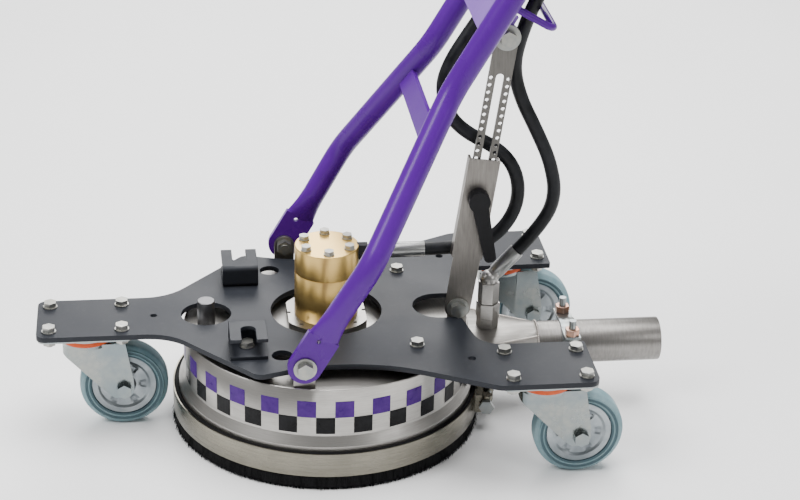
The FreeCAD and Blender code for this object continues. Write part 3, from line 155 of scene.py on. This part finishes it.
def hose_mesh(name, route):
    """Capped tube along the route's spline."""
    curve = bpy.data.curves.new(name, "CURVE")
    curve.dimensions = "3D"
    curve.resolution_u = 12
    curve.bevel_depth = HOSE_RADIUS
    curve.bevel_resolution = 5
    curve.use_fill_caps = True
    spline = curve.splines.new("NURBS")
    spline.points.add(len(route) - 1)
    for point, place in zip(spline.points, route):
        point.co = (*place, 1)
    spline.order_u = 3
    spline.use_endpoint_u = True
    maker = link(bpy.data.objects.new(name, curve))
    bpy.context.view_layer.update()
    mesh = bpy.data.meshes.new_from_object(maker)
    bpy.data.objects.remove(maker)
    return mesh


def make_hose(name, route):
    hose = link(bpy.data.objects.new(f"{name}_cover", hose_mesh(name, route)))
    for polygon in hose.data.polygons:
        polygon.use_smooth = True
    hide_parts(name)
    return hose


hoses = [make_hose("inlet_hose", inlet_route), make_hose("injector_hose", injector_route)]

# ---------------------------------------------------------------- shader building


COAT_ROUGHNESS = 0.12


class Value:
    """A number in a material; arithmetic on it adds Math nodes."""

    def __init__(self, paint, socket):
        self.paint = paint
        self.socket = socket

    def math(self, operation, *others):
        node = self.paint.node("ShaderNodeMath", {"operation": operation},
                               dict(enumerate((self, *others))))
        return Value(self.paint, node.outputs[0])

    def __add__(self, other):
        return self.math("ADD", other)

    def __sub__(self, other):
        return self.math("SUBTRACT", other)

    def __mul__(self, other):
        return self.math("MULTIPLY", other)

    def __rsub__(self, other):
        node = self.paint.node("ShaderNodeMath", {"operation": "SUBTRACT"}, {0: other, 1: self})
        return Value(self.paint, node.outputs[0])

    def between(self, low, high, new_low=0.0, new_high=1.0):
        """Rescaled from one range to another, and kept inside the new one."""
        node = self.paint.node("ShaderNodeMapRange", {"clamp": True}, {
            "Value": self, "From Min": low, "From Max": high, "To Min": new_low,
            "To Max": new_high,
        })
        return Value(self.paint, node.outputs[0])


class Paint:
    """One material, with the values that its patterns are made from."""

    def __init__(self, name, colour, roughness, metallic=0.0, coat=0.0, specular=0.5):
        self.material = bpy.data.materials.new(name)
        self.material.use_nodes = True
        self.tree = self.material.node_tree
        self.surface = self.tree.nodes["Principled BSDF"]
        self.surface.inputs["Roughness"].default_value = roughness
        self.surface.inputs["Metallic"].default_value = metallic
        self.surface.inputs["Coat Weight"].default_value = coat
        self.surface.inputs["Coat Roughness"].default_value = COAT_ROUGHNESS
        self.surface.inputs["Specular IOR Level"].default_value = specular
        self.surface.inputs["Base Color"].default_value = (*colour, 1)
        self.place = self.node("ShaderNodeTexCoord").outputs["Object"]
        parts = self.node("ShaderNodeSeparateXYZ", {}, {0: self.place})
        self.x, self.y, self.z = (Value(self, parts.outputs[i]) for i in range(3))

    def node(self, kind, settings=None, values=None):
        """Adds a node, sets its settings first and then its values and links."""
        node = self.tree.nodes.new(kind)
        for key, setting in (settings or {}).items():
            setattr(node, key, setting)
        for key, value in (values or {}).items():
            self.join(node.inputs[key], value)
        return node

    def join(self, socket, value):
        if isinstance(value, Value):
            value = value.socket
        if isinstance(value, bpy.types.NodeSocket):
            self.tree.links.new(value, socket)
        else:
            socket.default_value = value

    def vector(self, x, y, z):
        return self.node("ShaderNodeCombineXYZ", {}, {0: x, 1: y, 2: z}).outputs[0]

    def stretched(self, x, y, z):
        """The surface's place with each axis scaled."""
        return self.node("ShaderNodeVectorMath", {"operation": "MULTIPLY"},
                         {0: self.place, 1: (x, y, z)}).outputs[0]

    def noise(self, scale, detail=3.0, where=None, roughness=0.5):
        node = self.node("ShaderNodeTexNoise", {}, {
            "Vector": where or self.place, "Scale": scale, "Detail": detail,
            "Roughness": roughness,
        })
        return Value(self, node.outputs["Fac"])

    def cells(self, scale, where=None):
        node = self.node("ShaderNodeTexVoronoi", {}, {
            "Vector": where or self.place, "Scale": scale,
        })
        return Value(self, node.outputs["Distance"])

    def radius(self, centre, axis):
        """Distance from a line through centre along axis."""
        pairs = {"x": ((self.y, centre.y), (self.z, centre.z)),
                 "y": ((self.x, centre.x), (self.z, centre.z)),
                 "z": ((self.x, centre.x), (self.y, centre.y))}[axis]
        (a, a0), (b, b0) = pairs
        across, upward = a - a0, b - b0
        return (across * across + upward * upward).math("SQRT")

    def angle(self, centre):
        """Angle about the upright line through centre."""
        return (self.y - centre.y).math("ARCTAN2", self.x - centre.x)

    def mix(self, amount, first, second):
        """Colour between two colours."""
        node = self.node("ShaderNodeMix", {"data_type": "RGBA"}, {})
        self.join(node.inputs[0], amount)
        for socket, colour in ((node.inputs[6], first), (node.inputs[7], second)):
            self.join(socket, (*colour, 1) if isinstance(colour, tuple) else colour)
        return node.outputs[2]

    def colour(self, value):
        self.join(self.surface.inputs["Base Color"], value)

    def roughness(self, value):
        self.join(self.surface.inputs["Roughness"], value)

    def bump(self, height, depth, strength=1.0):
        """Relief whose depth is in metres."""
        before = self.surface.inputs["Normal"]
        values = {"Height": height, "Distance": depth, "Strength": strength}
        if before.is_linked:
            values["Normal"] = before.links[0].from_socket
        self.join(before, self.node("ShaderNodeBump", {}, values).outputs[0])


# ---------------------------------------------------------------- materials

GRIP_RIB_SPACING = 6 * MM
TYRE_RING_SPACING = 4.8 * MM
TYRE_WALL_RADIUS = 44.5 * MM
DISC_DIMPLES = 6.0
DISC_DIMPLE_RADII = (16 * MM, 27 * MM)
HOSE_WRAP = 1500.0


def powder_coat(name, colour, lighter, roughness, coat):
    """Baked coat with a fine orange-peel skin, faint dust and handling smears."""
    paint = Paint(name, colour, roughness, coat=coat, specular=0.2)
    smears = paint.noise(9.0, 5.0, roughness=0.6)
    dust = paint.noise(140.0, 4.0)
    shade = smears.between(0.35, 0.7) * 0.35 + dust.between(0.55, 0.8) * 0.25
    paint.colour(paint.mix(shade, colour, lighter))
    paint.roughness(smears.between(0.3, 0.7, roughness - 0.05, roughness + 0.1))
    paint.bump(paint.noise(900.0, 2.0), 0.06 * MM, 0.5)
    return paint.material


def steel_of(name, colour, darker, scratches, roughness=0.28):
    """Bare steel: fine scratches over cloudy handling marks."""
    paint = Paint(name, colour, roughness, metallic=1.0)
    lines = scratches(paint)
    clouds = paint.noise(14.0, 5.0, roughness=0.6)
    shade = lines.between(0.3, 0.7) * 0.45 + clouds.between(0.35, 0.7) * 0.4
    paint.colour(paint.mix(shade, colour, darker))
    rough = lines.between(0.3, 0.7, roughness - 0.06, roughness + 0.1)
    paint.roughness(rough + clouds.between(0.4, 0.7, 0.0, 0.08))
    paint.bump(lines, 0.03 * MM, 0.5)
    return paint.material


def straight_lines(x, y, z):
    """Brush lines that run along the axis with the smallest scale."""
    return lambda paint: paint.noise(1.0, 4.0, paint.stretched(x, y, z), 0.7)


def turned_lines(centre, axis, scale=2500.0):
    """Lathe or spinning marks round an axis."""

    def lines(paint):
        radius = paint.radius(centre, axis)
        height = {"x": paint.x, "y": paint.y, "z": paint.z}[axis]
        return paint.noise(1.0, 4.0, paint.vector(radius * scale, height * scale, 0.0), 0.7)

    return lines


def spun_lines(centre):
    """Brush lines round the drum, each only a part of the way round."""

    def lines(paint):
        sweep = paint.angle(centre) * 6.0
        radius = paint.radius(centre, "z") * 900.0
        return paint.noise(1.0, 5.0, paint.vector(sweep, radius, paint.z * 900.0), 0.75)

    return lines


def zinc(name, colour, polish=0.24):
    """Bright zinc plate with a soft bluish and yellowish cloud."""
    paint = Paint(name, colour, polish, metallic=1.0)
    spangle = paint.cells(160.0)
    clouds = paint.noise(28.0, 4.0)
    cool = paint.mix(clouds.between(0.35, 0.65, 0.0, 0.6), colour, (0.37, 0.36, 0.315))
    paint.colour(paint.mix(spangle.between(0.1, 0.8, 0.0, 0.35), cool, (0.17, 0.20, 0.225)))
    paint.roughness(clouds.between(0.3, 0.7, polish, polish + 0.14))
    paint.bump(paint.noise(600.0, 3.0), 0.04 * MM, 0.4)
    return paint.material


def turned_brass():
    """Turned brass: fine lathe lines that carry a painted highlight, and a slight, cloudy tarnish.
    """
    paint = Paint("turned_brass", (0.62, 0.42, 0.14), 0.24, metallic=1.0)
    lines = turned_lines(DRUM, "z", 1800.0)(paint)
    tarnish = paint.noise(22.0, 5.0, roughness=0.65)
    tone = paint.mix(tarnish.between(0.4, 0.8, 0.0, 0.22), (0.72, 0.48, 0.15), (0.50, 0.31, 0.08))
    # Painted highlight: the lathe lines are lightened towards a pale brass.
    paint.colour(paint.mix(lines.between(0.3, 0.7, 0.0, 0.3), tone, (0.84, 0.63, 0.28)))
    paint.roughness(lines.between(0.3, 0.7, 0.29, 0.37) + tarnish.between(0.5, 0.75, 0, 0.02))
    paint.bump(lines, 0.03 * MM, 0.25)
    return paint.material


def moulded(name, colour, lighter, roughness, grain=1400.0):
    """Moulded rubber or plastic with a fine grain and worn, paler patches."""
    paint = Paint(name, colour, roughness, specular=0.16)
    patches = paint.noise(25.0, 4.0)
    paint.colour(paint.mix(patches.between(0.4, 0.75, 0.0, 0.7), colour, lighter))
    paint.roughness(patches.between(0.3, 0.7, roughness - 0.08, roughness + 0.12))
    paint.bump(paint.noise(grain, 2.0), 0.08 * MM, 0.6)
    return paint.material


def grip_rubber():
    """Handlebar sleeve with moulded ribs."""
    paint = Paint("grip_rubber", (0.01, 0.01, 0.011), 0.6, specular=0.2)
    ribs = (paint.x * (2 * math.pi / GRIP_RIB_SPACING)).math("SINE")
    patches = paint.noise(40.0, 4.0)
    paint.colour(paint.mix(patches.between(0.4, 0.7), (0.006, 0.006, 0.007),
                           (0.018, 0.018, 0.02)))
    paint.roughness(patches.between(0.3, 0.7, 0.5, 0.72))
    paint.bump(ribs.between(-0.4, 0.6), 0.9 * MM)
    paint.bump(paint.noise(1500.0, 2.0), 0.08 * MM, 0.5)
    return paint.material


def tyre_rubber(name, centre):
    """Blue-grey tyre: moulded rings on its walls with painted shade in their grooves, and dust
    worked into it.
    """
    paint = Paint(name, (0.07, 0.13, 0.17), 0.6, specular=0.2)
    radius = paint.radius(centre, "x")
    rings = (radius * (2 * math.pi / TYRE_RING_SPACING)).math("SINE").between(-0.2, 0.9)
    wall = radius.between(TYRE_WALL_RADIUS, TYRE_WALL_RADIUS + 1 * MM, 1.0, 0.0)
    dust = paint.noise(60.0, 5.0, roughness=0.65)
    tone = paint.mix(dust.between(0.35, 0.7), (0.165, 0.280, 0.315), (0.25, 0.355, 0.385))
    # Painted shade: the grooves between the wall's rings are darkened towards a deep blue-grey.
    paint.colour(paint.mix((1.0 - rings) * wall * 0.8, tone, (0.035, 0.065, 0.08)))
    paint.roughness(dust.between(0.3, 0.7, 0.45, 0.7))
    paint.bump(rings * wall, 1.1 * MM)
    paint.bump(paint.noise(700.0, 3.0), 0.1 * MM, 0.5)
    return paint.material


def wheel_zinc(name, centre):
    """Pressed zinc wheel disc with a turned look and dished dimples, with painted shade in the
    dimples.
    """
    paint = Paint(name, (0.60, 0.62, 0.66), 0.3, metallic=1.0)
    radius = paint.radius(centre, "x")
    rings = paint.noise(1.0, 3.0, paint.vector(radius * 900.0, 0.0, 0.0))
    around = (paint.z - centre.z).math("ARCTAN2", paint.y - centre.y)
    lobes = (around * DISC_DIMPLES).math("COSINE").between(0.2, 0.9)
    inner, outer = DISC_DIMPLE_RADII
    fade = 3 * MM
    belt = radius.between(inner, inner + fade) * radius.between(outer - fade, outer, 1.0, 0.0)
    clouds = paint.noise(35.0, 4.0)
    tone = paint.mix(clouds.between(0.35, 0.7), (0.33, 0.36, 0.375), (0.20, 0.225, 0.24))
    # Painted shade: the dished dimples are darkened towards a deep grey.
    paint.colour(paint.mix(lobes * belt * 0.35, tone, (0.09, 0.10, 0.115)))
    paint.roughness(clouds.between(0.3, 0.7, 0.24, 0.42))
    paint.bump(lobes * belt * -1.0, 1.2 * MM)
    paint.bump(rings, 0.08 * MM, 0.5)
    return paint.material


def hose_cover():
    """Smooth rubber cover with the wrap's faint cross pattern and a little dust."""
    paint = Paint("hose_cover", (0.01, 0.011, 0.013), 0.42, specular=0.2)
    wrap = (paint.z * HOSE_WRAP).math("SINE") * (paint.y * HOSE_WRAP).math("SINE")
    dust = paint.noise(50.0, 5.0)
    paint.colour(paint.mix(dust.between(0.35, 0.75), (0.004, 0.0045, 0.0055),
                           (0.018, 0.019, 0.022)))
    paint.roughness(dust.between(0.3, 0.7, 0.34, 0.55))
    paint.bump(wrap, 0.06 * MM, 0.5)
    return paint.material


def bristle_fibre():
    """Black nylon that varies a little from fibre to fibre."""
    paint = Paint("bristle_fibre", (0.005, 0.005, 0.005), 0.6, specular=0.05)
    tone = paint.noise(900.0, 2.0)
    paint.colour(paint.mix(tone.between(0.3, 0.7), (0.002, 0.002, 0.0022), (0.014, 0.014, 0.015)))
    paint.roughness(tone.between(0.3, 0.7, 0.4, 0.65))
    return paint.material


def vinyl(name, colour, lighter):
    """Coloured film with small bubbles, scuffs and a slight sheen."""
    paint = Paint(name, colour, 0.36, specular=0.12)
    scuffs = paint.noise(70.0, 5.0, roughness=0.65)
    paint.colour(paint.mix(scuffs.between(0.4, 0.75), colour, lighter))
    paint.roughness(scuffs.between(0.3, 0.7, 0.24, 0.42))
    paint.bump(paint.cells(300.0), 0.03 * MM, 0.4)
    return paint.material


def studio_floor():
    """Plain pale floor."""
    paint = Paint("studio_floor", (0.86, 0.86, 0.86), 0.55)
    tone = paint.noise(2.0, 3.0)
    paint.colour(paint.mix(tone, (0.93, 0.93, 0.93), (0.95, 0.95, 0.95)))
    paint.roughness(tone.between(0.3, 0.7, 0.5, 0.65))
    return paint.material


ANTHRACITE = powder_coat("anthracite_coat", (0.014, 0.016, 0.021), (0.034, 0.037, 0.045), 0.45,
                         0.0)
PURPLE = powder_coat("purple_coat", (0.073, 0.004, 0.215), (0.103, 0.010, 0.285), 0.27, 0.06)
LIGHT_PURPLE = powder_coat("panel_coat", (0.21, 0.10, 0.42), (0.28, 0.16, 0.50), 0.38, 0.1)
DRUM_STEEL = steel_of("spun_stainless", (0.47, 0.455, 0.43), (0.27, 0.26, 0.245), spun_lines(DRUM),
                      0.34)
BAND_STEEL = steel_of("polished_band", (0.26, 0.245, 0.20), (0.14, 0.132, 0.108), spun_lines(DRUM),
                      0.22)
DUCT_STEEL = steel_of("duct_stainless", (0.35, 0.335, 0.315), (0.20, 0.19, 0.175),
                      straight_lines(500.0, 25.0, 500.0), 0.34)
TUBE_STEEL = steel_of("tube_stainless", (0.29, 0.28, 0.265), (0.16, 0.15, 0.14),
                      straight_lines(90.0, 420.0, 90.0), 0.34)
FLANGE_STEEL = steel_of("flange_stainless", (0.50, 0.485, 0.46), (0.31, 0.30, 0.285),
                        turned_lines(DRUM, "z"), 0.28)
STRUT_STEEL = steel_of("strut_stainless", (0.26, 0.245, 0.225), (0.15, 0.14, 0.13),
                       straight_lines(700.0, 500.0, 40.0), 0.38)
SLIDER_STEEL = steel_of("slider_stainless", (0.15, 0.143, 0.133), (0.09, 0.086, 0.08),
                        straight_lines(700.0, 500.0, 40.0), 0.34)
PIN_STEEL = steel_of("pin_steel", (0.20, 0.20, 0.205), (0.12, 0.12, 0.125),
                     turned_lines(middle("stop_pin"), "z"), 0.4)
FITTING_STEEL = steel_of("fitting_steel", (0.42, 0.41, 0.39), (0.27, 0.26, 0.25),
                         straight_lines(300.0, 300.0, 900.0), 0.32)
FERRULE_STEEL = steel_of("ferrule_steel", (0.38, 0.385, 0.375), (0.23, 0.235, 0.23),
                         straight_lines(500.0, 120.0, 500.0), 0.3)
ZINC = zinc("bright_zinc", (0.30, 0.33, 0.335))
FORK_ZINC = zinc("fork_zinc", (0.195, 0.232, 0.24), 0.18)
BOLT_ZINC = zinc("bolt_zinc", (0.44, 0.43, 0.395), 0.34)
PIVOT_ZINC = zinc("pivot_zinc", (0.37, 0.37, 0.345), 0.38)
COPPER = zinc("copper_nuts", (0.62, 0.29, 0.17))
BRASS = turned_brass()
RUBBER = moulded("black_rubber", (0.004, 0.004, 0.0045), (0.014, 0.014, 0.015), 0.7)
PLASTIC = moulded("black_plastic", (0.006, 0.006, 0.007), (0.016, 0.016, 0.018), 0.42)
ORANGE = moulded("orange_plastic", (0.62, 0.085, 0.022), (0.72, 0.16, 0.06), 0.36)

FINISH = {
    "drum_shell": DRUM_STEEL, "brush_backing": RUBBER, "brush_bristles": RUBBER,
    "band_clamp": BAND_STEEL, "band_bolt": ZINC, "frame_plate": ANTHRACITE,
    "plate_spacers": ZINC, "side_brackets": ANTHRACITE, "stop_pin": PIN_STEEL,
    "frame_bolts": BOLT_ZINC, "swivel_flange": FLANGE_STEEL, "swivel_body": BRASS,
    "swivel_cap": BRASS, "cap_bolts": BOLT_ZINC, "swivel_bearings": FLANGE_STEEL,
    "rotor_shaft": FLANGE_STEEL, "spray_pipes": TUBE_STEEL, "spray_nozzles": FITTING_STEEL,
    "outlet_duct": DUCT_STEEL, "outlet_tube": TUBE_STEEL, "tube_saddle": ZINC,
    "tube_u_bolt": ZINC, "tube_nuts": COPPER, "inlet_fitting": PLASTIC,
    "injector_fitting": FITTING_STEEL, "hose_ferrules": FERRULE_STEEL, "castor_seals": ORANGE,
    "handle_lugs": DUCT_STEEL, "strut_lug": DUCT_STEEL, "pivot_bolts": PIVOT_ZINC,
    "handle_tube_right": PURPLE, "handle_tube_left": PURPLE, "cross_bar": PURPLE,
    "handle_panel": LIGHT_PURPLE, "strut_top_bolt": PIVOT_ZINC, "hose_guide": PURPLE,
    "valve_bar": PURPLE, "handlebar": PURPLE, "grips": grip_rubber(), "valve_block": BRASS,
    "valve_ferrules": FERRULE_STEEL, "trigger_lever": PLASTIC, "strut_arm": STRUT_STEEL,
    "strut_slider": SLIDER_STEEL, "clamp_lever": PLASTIC, "clamp_nut": PIVOT_ZINC,
    "inlet_hose": RUBBER, "injector_hose": RUBBER,
}
for place in ("front", "right", "left"):
    hub = middle(f"wheel_rim_{place}")
    FINISH[f"castor_plate_{place}"] = ZINC
    FINISH[f"castor_fork_{place}"] = FORK_ZINC
    FINISH[f"wheel_rim_{place}"] = wheel_zinc(f"wheel_disc_{place}", hub)
    FINISH[f"tyre_{place}"] = tyre_rubber(f"tyre_rubber_{place}", hub)

# Nodes that get no bevel: the replaced ones, and one of round wire.
SHARP = ("brush_bristles", "inlet_hose", "injector_hose", "hose_guide")
EDGE_WIDTH = 0.5 * MM
EDGE_ANGLE = math.radians(40)
WELD_DISTANCE = 0.01 * MM


def round_edges(obj):
    """Small bevel that catches the light along the edges of a CAD node."""
    weld = obj.modifiers.new("weld", "WELD")
    weld.merge_threshold = WELD_DISTANCE
    bevel = obj.modifiers.new("edges", "BEVEL")
    bevel.width = EDGE_WIDTH
    bevel.segments = 2
    bevel.limit_method = "ANGLE"
    bevel.angle_limit = EDGE_ANGLE


for name, obj in nodes.items():
    obj.data.materials.clear()
    obj.data.materials.append(FINISH[name])

# ---------------------------------------------------------------- extra pieces


def piece(name, mesh, material, body):
    obj = link(bpy.data.objects.new(name, mesh))
    obj.data.materials.append(material)
    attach(obj, body)
    return obj


def polar(radius, turn, z):
    """Point round the drum's axis, in metres."""
    return Vector((DRUM.x + radius * math.cos(turn), DRUM.y + radius * math.sin(turn), z))


SQUARE_TURN = math.radians(7.306)
SQUARE_HEIGHT = 19.75 * MM
TAPE_START = math.radians(-60.07)
TAPE_FOOT = 63.0 * MM
TAPE_RADIUS = DRUM_RADIUS + 0.25 * MM
TAPE_LEAD = 8  # squares before TAPE_START
TAPE_SHORT = 6  # squares by which the tape doesn't reach round
TAPE_STEPS = 4  # flat parts of one square
DUCT_HALF_TURN = math.radians(22)  # the duct leaves the drum here


def tape_squares(row, odd):
    """Every other square of one row of the tape, each a curved patch."""
    bm = bmesh.new()
    count = round(2 * math.pi / SQUARE_TURN)
    low = TAPE_FOOT + row * SQUARE_HEIGHT
    for index in range(odd, count - TAPE_SHORT, 2):
        first = TAPE_START + (index - TAPE_LEAD) * SQUARE_TURN
        from_rear = (first + SQUARE_TURN / 2 + math.pi / 2) % (2 * math.pi) - math.pi
        if abs(from_rear) < DUCT_HALF_TURN:
            continue
        columns = []
        for step in range(TAPE_STEPS + 1):
            turn = first + SQUARE_TURN * step / TAPE_STEPS
            columns.append([
                bm.verts.new(polar(TAPE_RADIUS, turn, z)) for z in (low, low + SQUARE_HEIGHT)
            ])
        for before, after in zip(columns, columns[1:]):
            bm.faces.new((before[0], after[0], after[1], before[1]))
    mesh = bpy.data.meshes.new(f"tape_row_{row}")
    bm.to_mesh(mesh)
    bm.free()
    return mesh


piece("tape_purple", tape_squares(1, 0),
      vinyl("purple_film", (0.05, 0.010, 0.15), (0.085, 0.026, 0.21)), "frame")
piece("tape_black", tape_squares(0, 1),
      vinyl("black_film", (0.0035, 0.0035, 0.004), (0.014, 0.014, 0.016)), "frame")


BRISTLE_ROOTS = (168.9, 173.0)  # radii between which they grow, in millimetres
BRISTLE_REACH = 177.5 * MM  # radius that no tip passes
FIBRE_SIDES = (0.0, 2.1, 4.2)  # angles of a fibre's three corners
FIBRES = 9000


def bristle_mesh(count):
    """Ring of single fibres that lean a little every way and end unevenly near the floor."""
    rng = random.Random(7)
    bm = bmesh.new()
    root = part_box("brush_backing")[0].z + 1.5 * MM
    for _ in range(count):
        turn = rng.uniform(0, 2 * math.pi)
        inner = rng.uniform(*BRISTLE_ROOTS) * MM
        outward = rng.gauss(1.6, 1.3) * MM
        sideways = rng.gauss(0, 0.012)
        tip_radius = min(inner + outward, BRISTLE_REACH)
        tip = polar(tip_radius, turn + sideways, abs(rng.gauss(0, 0.9)) * MM)
        start = polar(inner, turn, root)
        bend = polar(inner + (tip_radius - inner) * 0.3, turn + sideways * 0.3, root * 0.5)
        thick = rng.uniform(0.22, 0.34) * MM
        rings = []
        for centre, size in ((start, thick), (bend, thick), (tip, thick * 0.5)):
            rings.append([
                bm.verts.new(centre + Vector((math.cos(a), math.sin(a), 0)) * size)
                for a in FIBRE_SIDES
            ])
        for lower, upper in zip(rings, rings[1:]):
            for i in range(len(FIBRE_SIDES)):
                j = (i + 1) % len(FIBRE_SIDES)
                bm.faces.new((lower[i], upper[i], upper[j], lower[j]))
    mesh = bpy.data.meshes.new("bristles")
    bm.to_mesh(mesh)
    bm.free()
    return mesh


def lathe(name, profile, steps=160):
    """Closed ring turned about the drum's axis from (radius, height) points in millimetres."""
    bm = bmesh.new()
    rows = [
        [bm.verts.new(polar(r * MM, 2 * math.pi * i / steps, z * MM)) for r, z in profile]
        for i in range(steps)
    ]
    for i in range(steps):
        here, following = rows[i], rows[(i + 1) % steps]
        for k in range(len(profile)):
            other = (k + 1) % len(profile)
            bm.faces.new((here[k], following[k], following[other], here[other]))
    mesh = bpy.data.meshes.new(name)
    bmesh.ops.recalc_face_normals(bm, faces=bm.faces)
    bm.to_mesh(mesh)
    bm.free()
    return mesh


FIBRE = bristle_fibre()
CORE_PROFILE = [(169.2, 17), (169.6, 3), (174.2, 3), (172.6, 17)]
bristles = piece("bristle_fibres", bristle_mesh(FIBRES), FIBRE, "frame")
piece("bristle_core", lathe("bristle_core", CORE_PROFILE), FIBRE, "frame")
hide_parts("brush_bristles")


WELD = steel_of("weld_steel", (0.55, 0.52, 0.48), (0.32, 0.28, 0.26),
                straight_lines(400.0, 400.0, 400.0), 0.34)


def weld_bead(name, points, size):
    """Row of overlapping ripples along a seam; size is a ripple's half width each way, in mm."""
    bm = bmesh.new()
    for point in points:
        turn = Matrix.Translation(point) @ Matrix.Diagonal((*(s * MM for s in size), 1))
        bmesh.ops.create_icosphere(bm, subdivisions=2, radius=1.0, matrix=turn)
    for face in bm.faces:
        face.smooth = True
    mesh = bpy.data.meshes.new(name)
    bm.to_mesh(mesh)
    bm.free()
    return piece(name, mesh, WELD, "frame")


DUCT_HALF_WIDTH = 54
BEAD_STEP = 2
duct_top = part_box("outlet_duct")[1].z
arc = [math.asin(x * MM / DRUM_RADIUS)
       for x in range(-DUCT_HALF_WIDTH, DUCT_HALF_WIDTH + 1, BEAD_STEP)]
weld_bead("duct_weld", [polar(DRUM_RADIUS, math.pi / 2 - a, duct_top) for a in arc],
          (1.8, 1.8, 1.2))

TUBE_BEADS = 72
TUBE_WELD_RADIUS = 25.2 * MM
tube_low, tube_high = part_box("outlet_tube")
tube_height = (tube_low.z + tube_high.z) / 2
ring_turns = [2 * math.pi * i / TUBE_BEADS for i in range(TUBE_BEADS)]
weld_bead("tube_weld", [
    Vector((TUBE_WELD_RADIUS * math.sin(a), tube_low.y + 0.4 * MM,
            tube_height + TUBE_WELD_RADIUS * math.cos(a)))
    for a in ring_turns
], (1.6, 1.4, 1.6))

duct = nodes["outlet_duct"]
duct_skin = BVHTree.FromPolygons([duct.matrix_world @ v.co for v in duct.data.vertices],
                                 [p.vertices for p in duct.data.polygons])
SKIN_START = 30 * MM
SKIN_REACH = 40 * MM


def on_duct(target, side):
    """The duct's outer skin where a line from outside its upper corner comes in to target."""
    outward = Vector((side, 0, 1)).normalized()
    place = duct_skin.ray_cast(target + outward * SKIN_START, -outward, SKIN_REACH)[0]
    return place or target


# The duct's upper edge, from the drum's opening to the tube; the part inside the drum is bare.
SEAM_START, SEAM_END = Vector((61.5, 140.0, 103.0)), Vector((17.7, 243.0, 95.7))
SEAM_FROM, SEAM_SPAN, SEAM_STEPS = 0.26, 0.72, 40
for side, label in ((1, "right"), (-1, "left")):
    seam = [SEAM_START.lerp(SEAM_END, SEAM_FROM + SEAM_SPAN * i / SEAM_STEPS)
            for i in range(SEAM_STEPS + 1)]
    weld_bead(f"duct_seam_{label}", [on_duct(at(side * p.x, p.y, p.z), side) for p in seam],
              (1.5, 1.7, 1.1))

COVER = hose_cover()
for hose in hoses:
    hose.data.materials.clear()
    hose.data.materials.append(COVER)
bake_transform(hoses[0])
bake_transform(hoses[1])

for name, obj in nodes.items():
    if name not in SHARP and not obj.hide_render:
        round_edges(obj)

# ---------------------------------------------------------------- studio


FLOOR_HALF = 14.0
BACKDROP_STRENGTH = 0.30
LIGHT_AIM = Vector((0, 0, 0.2))
# Name, place and size in metres, power in watts.
LIGHTS = (
    ("key", (0.9, -2.1, 2.6), 1.3, 70.0),
    ("top", (-0.3, 0.3, 3.2), 2.6, 200.0),
    ("fill", (1.9, 2.0, 1.6), 1.0, 14.0),
    ("back", (-2.4, 0.2, 1.8), 1.6, 60.0),
)


def make_studio():
    mesh = bpy.data.meshes.new("floor")
    size = FLOOR_HALF
    mesh.from_pydata([(-size, -size, 0), (size, -size, 0), (size, size, 0), (-size, size, 0)], [],
                     [(0, 1, 2, 3)])
    floor = link(bpy.data.objects.new("floor", mesh))
    floor.data.materials.append(studio_floor())
    for name, place, size, power in LIGHTS:
        light = bpy.data.lights.new(name, "AREA")
        light.size = size
        light.energy = power
        lamp = link(bpy.data.objects.new(name, light))
        lamp.location = place
        lamp.rotation_euler = (LIGHT_AIM - Vector(place)).to_track_quat("-Z", "Y").to_euler()
    world = bpy.data.worlds.new("studio")
    world.use_nodes = True
    backdrop = world.node_tree.nodes["Background"]
    backdrop.inputs["Color"].default_value = (1.0, 1.0, 1.0, 1)
    backdrop.inputs["Strength"].default_value = BACKDROP_STRENGTH
    bpy.context.scene.world = world


make_studio()
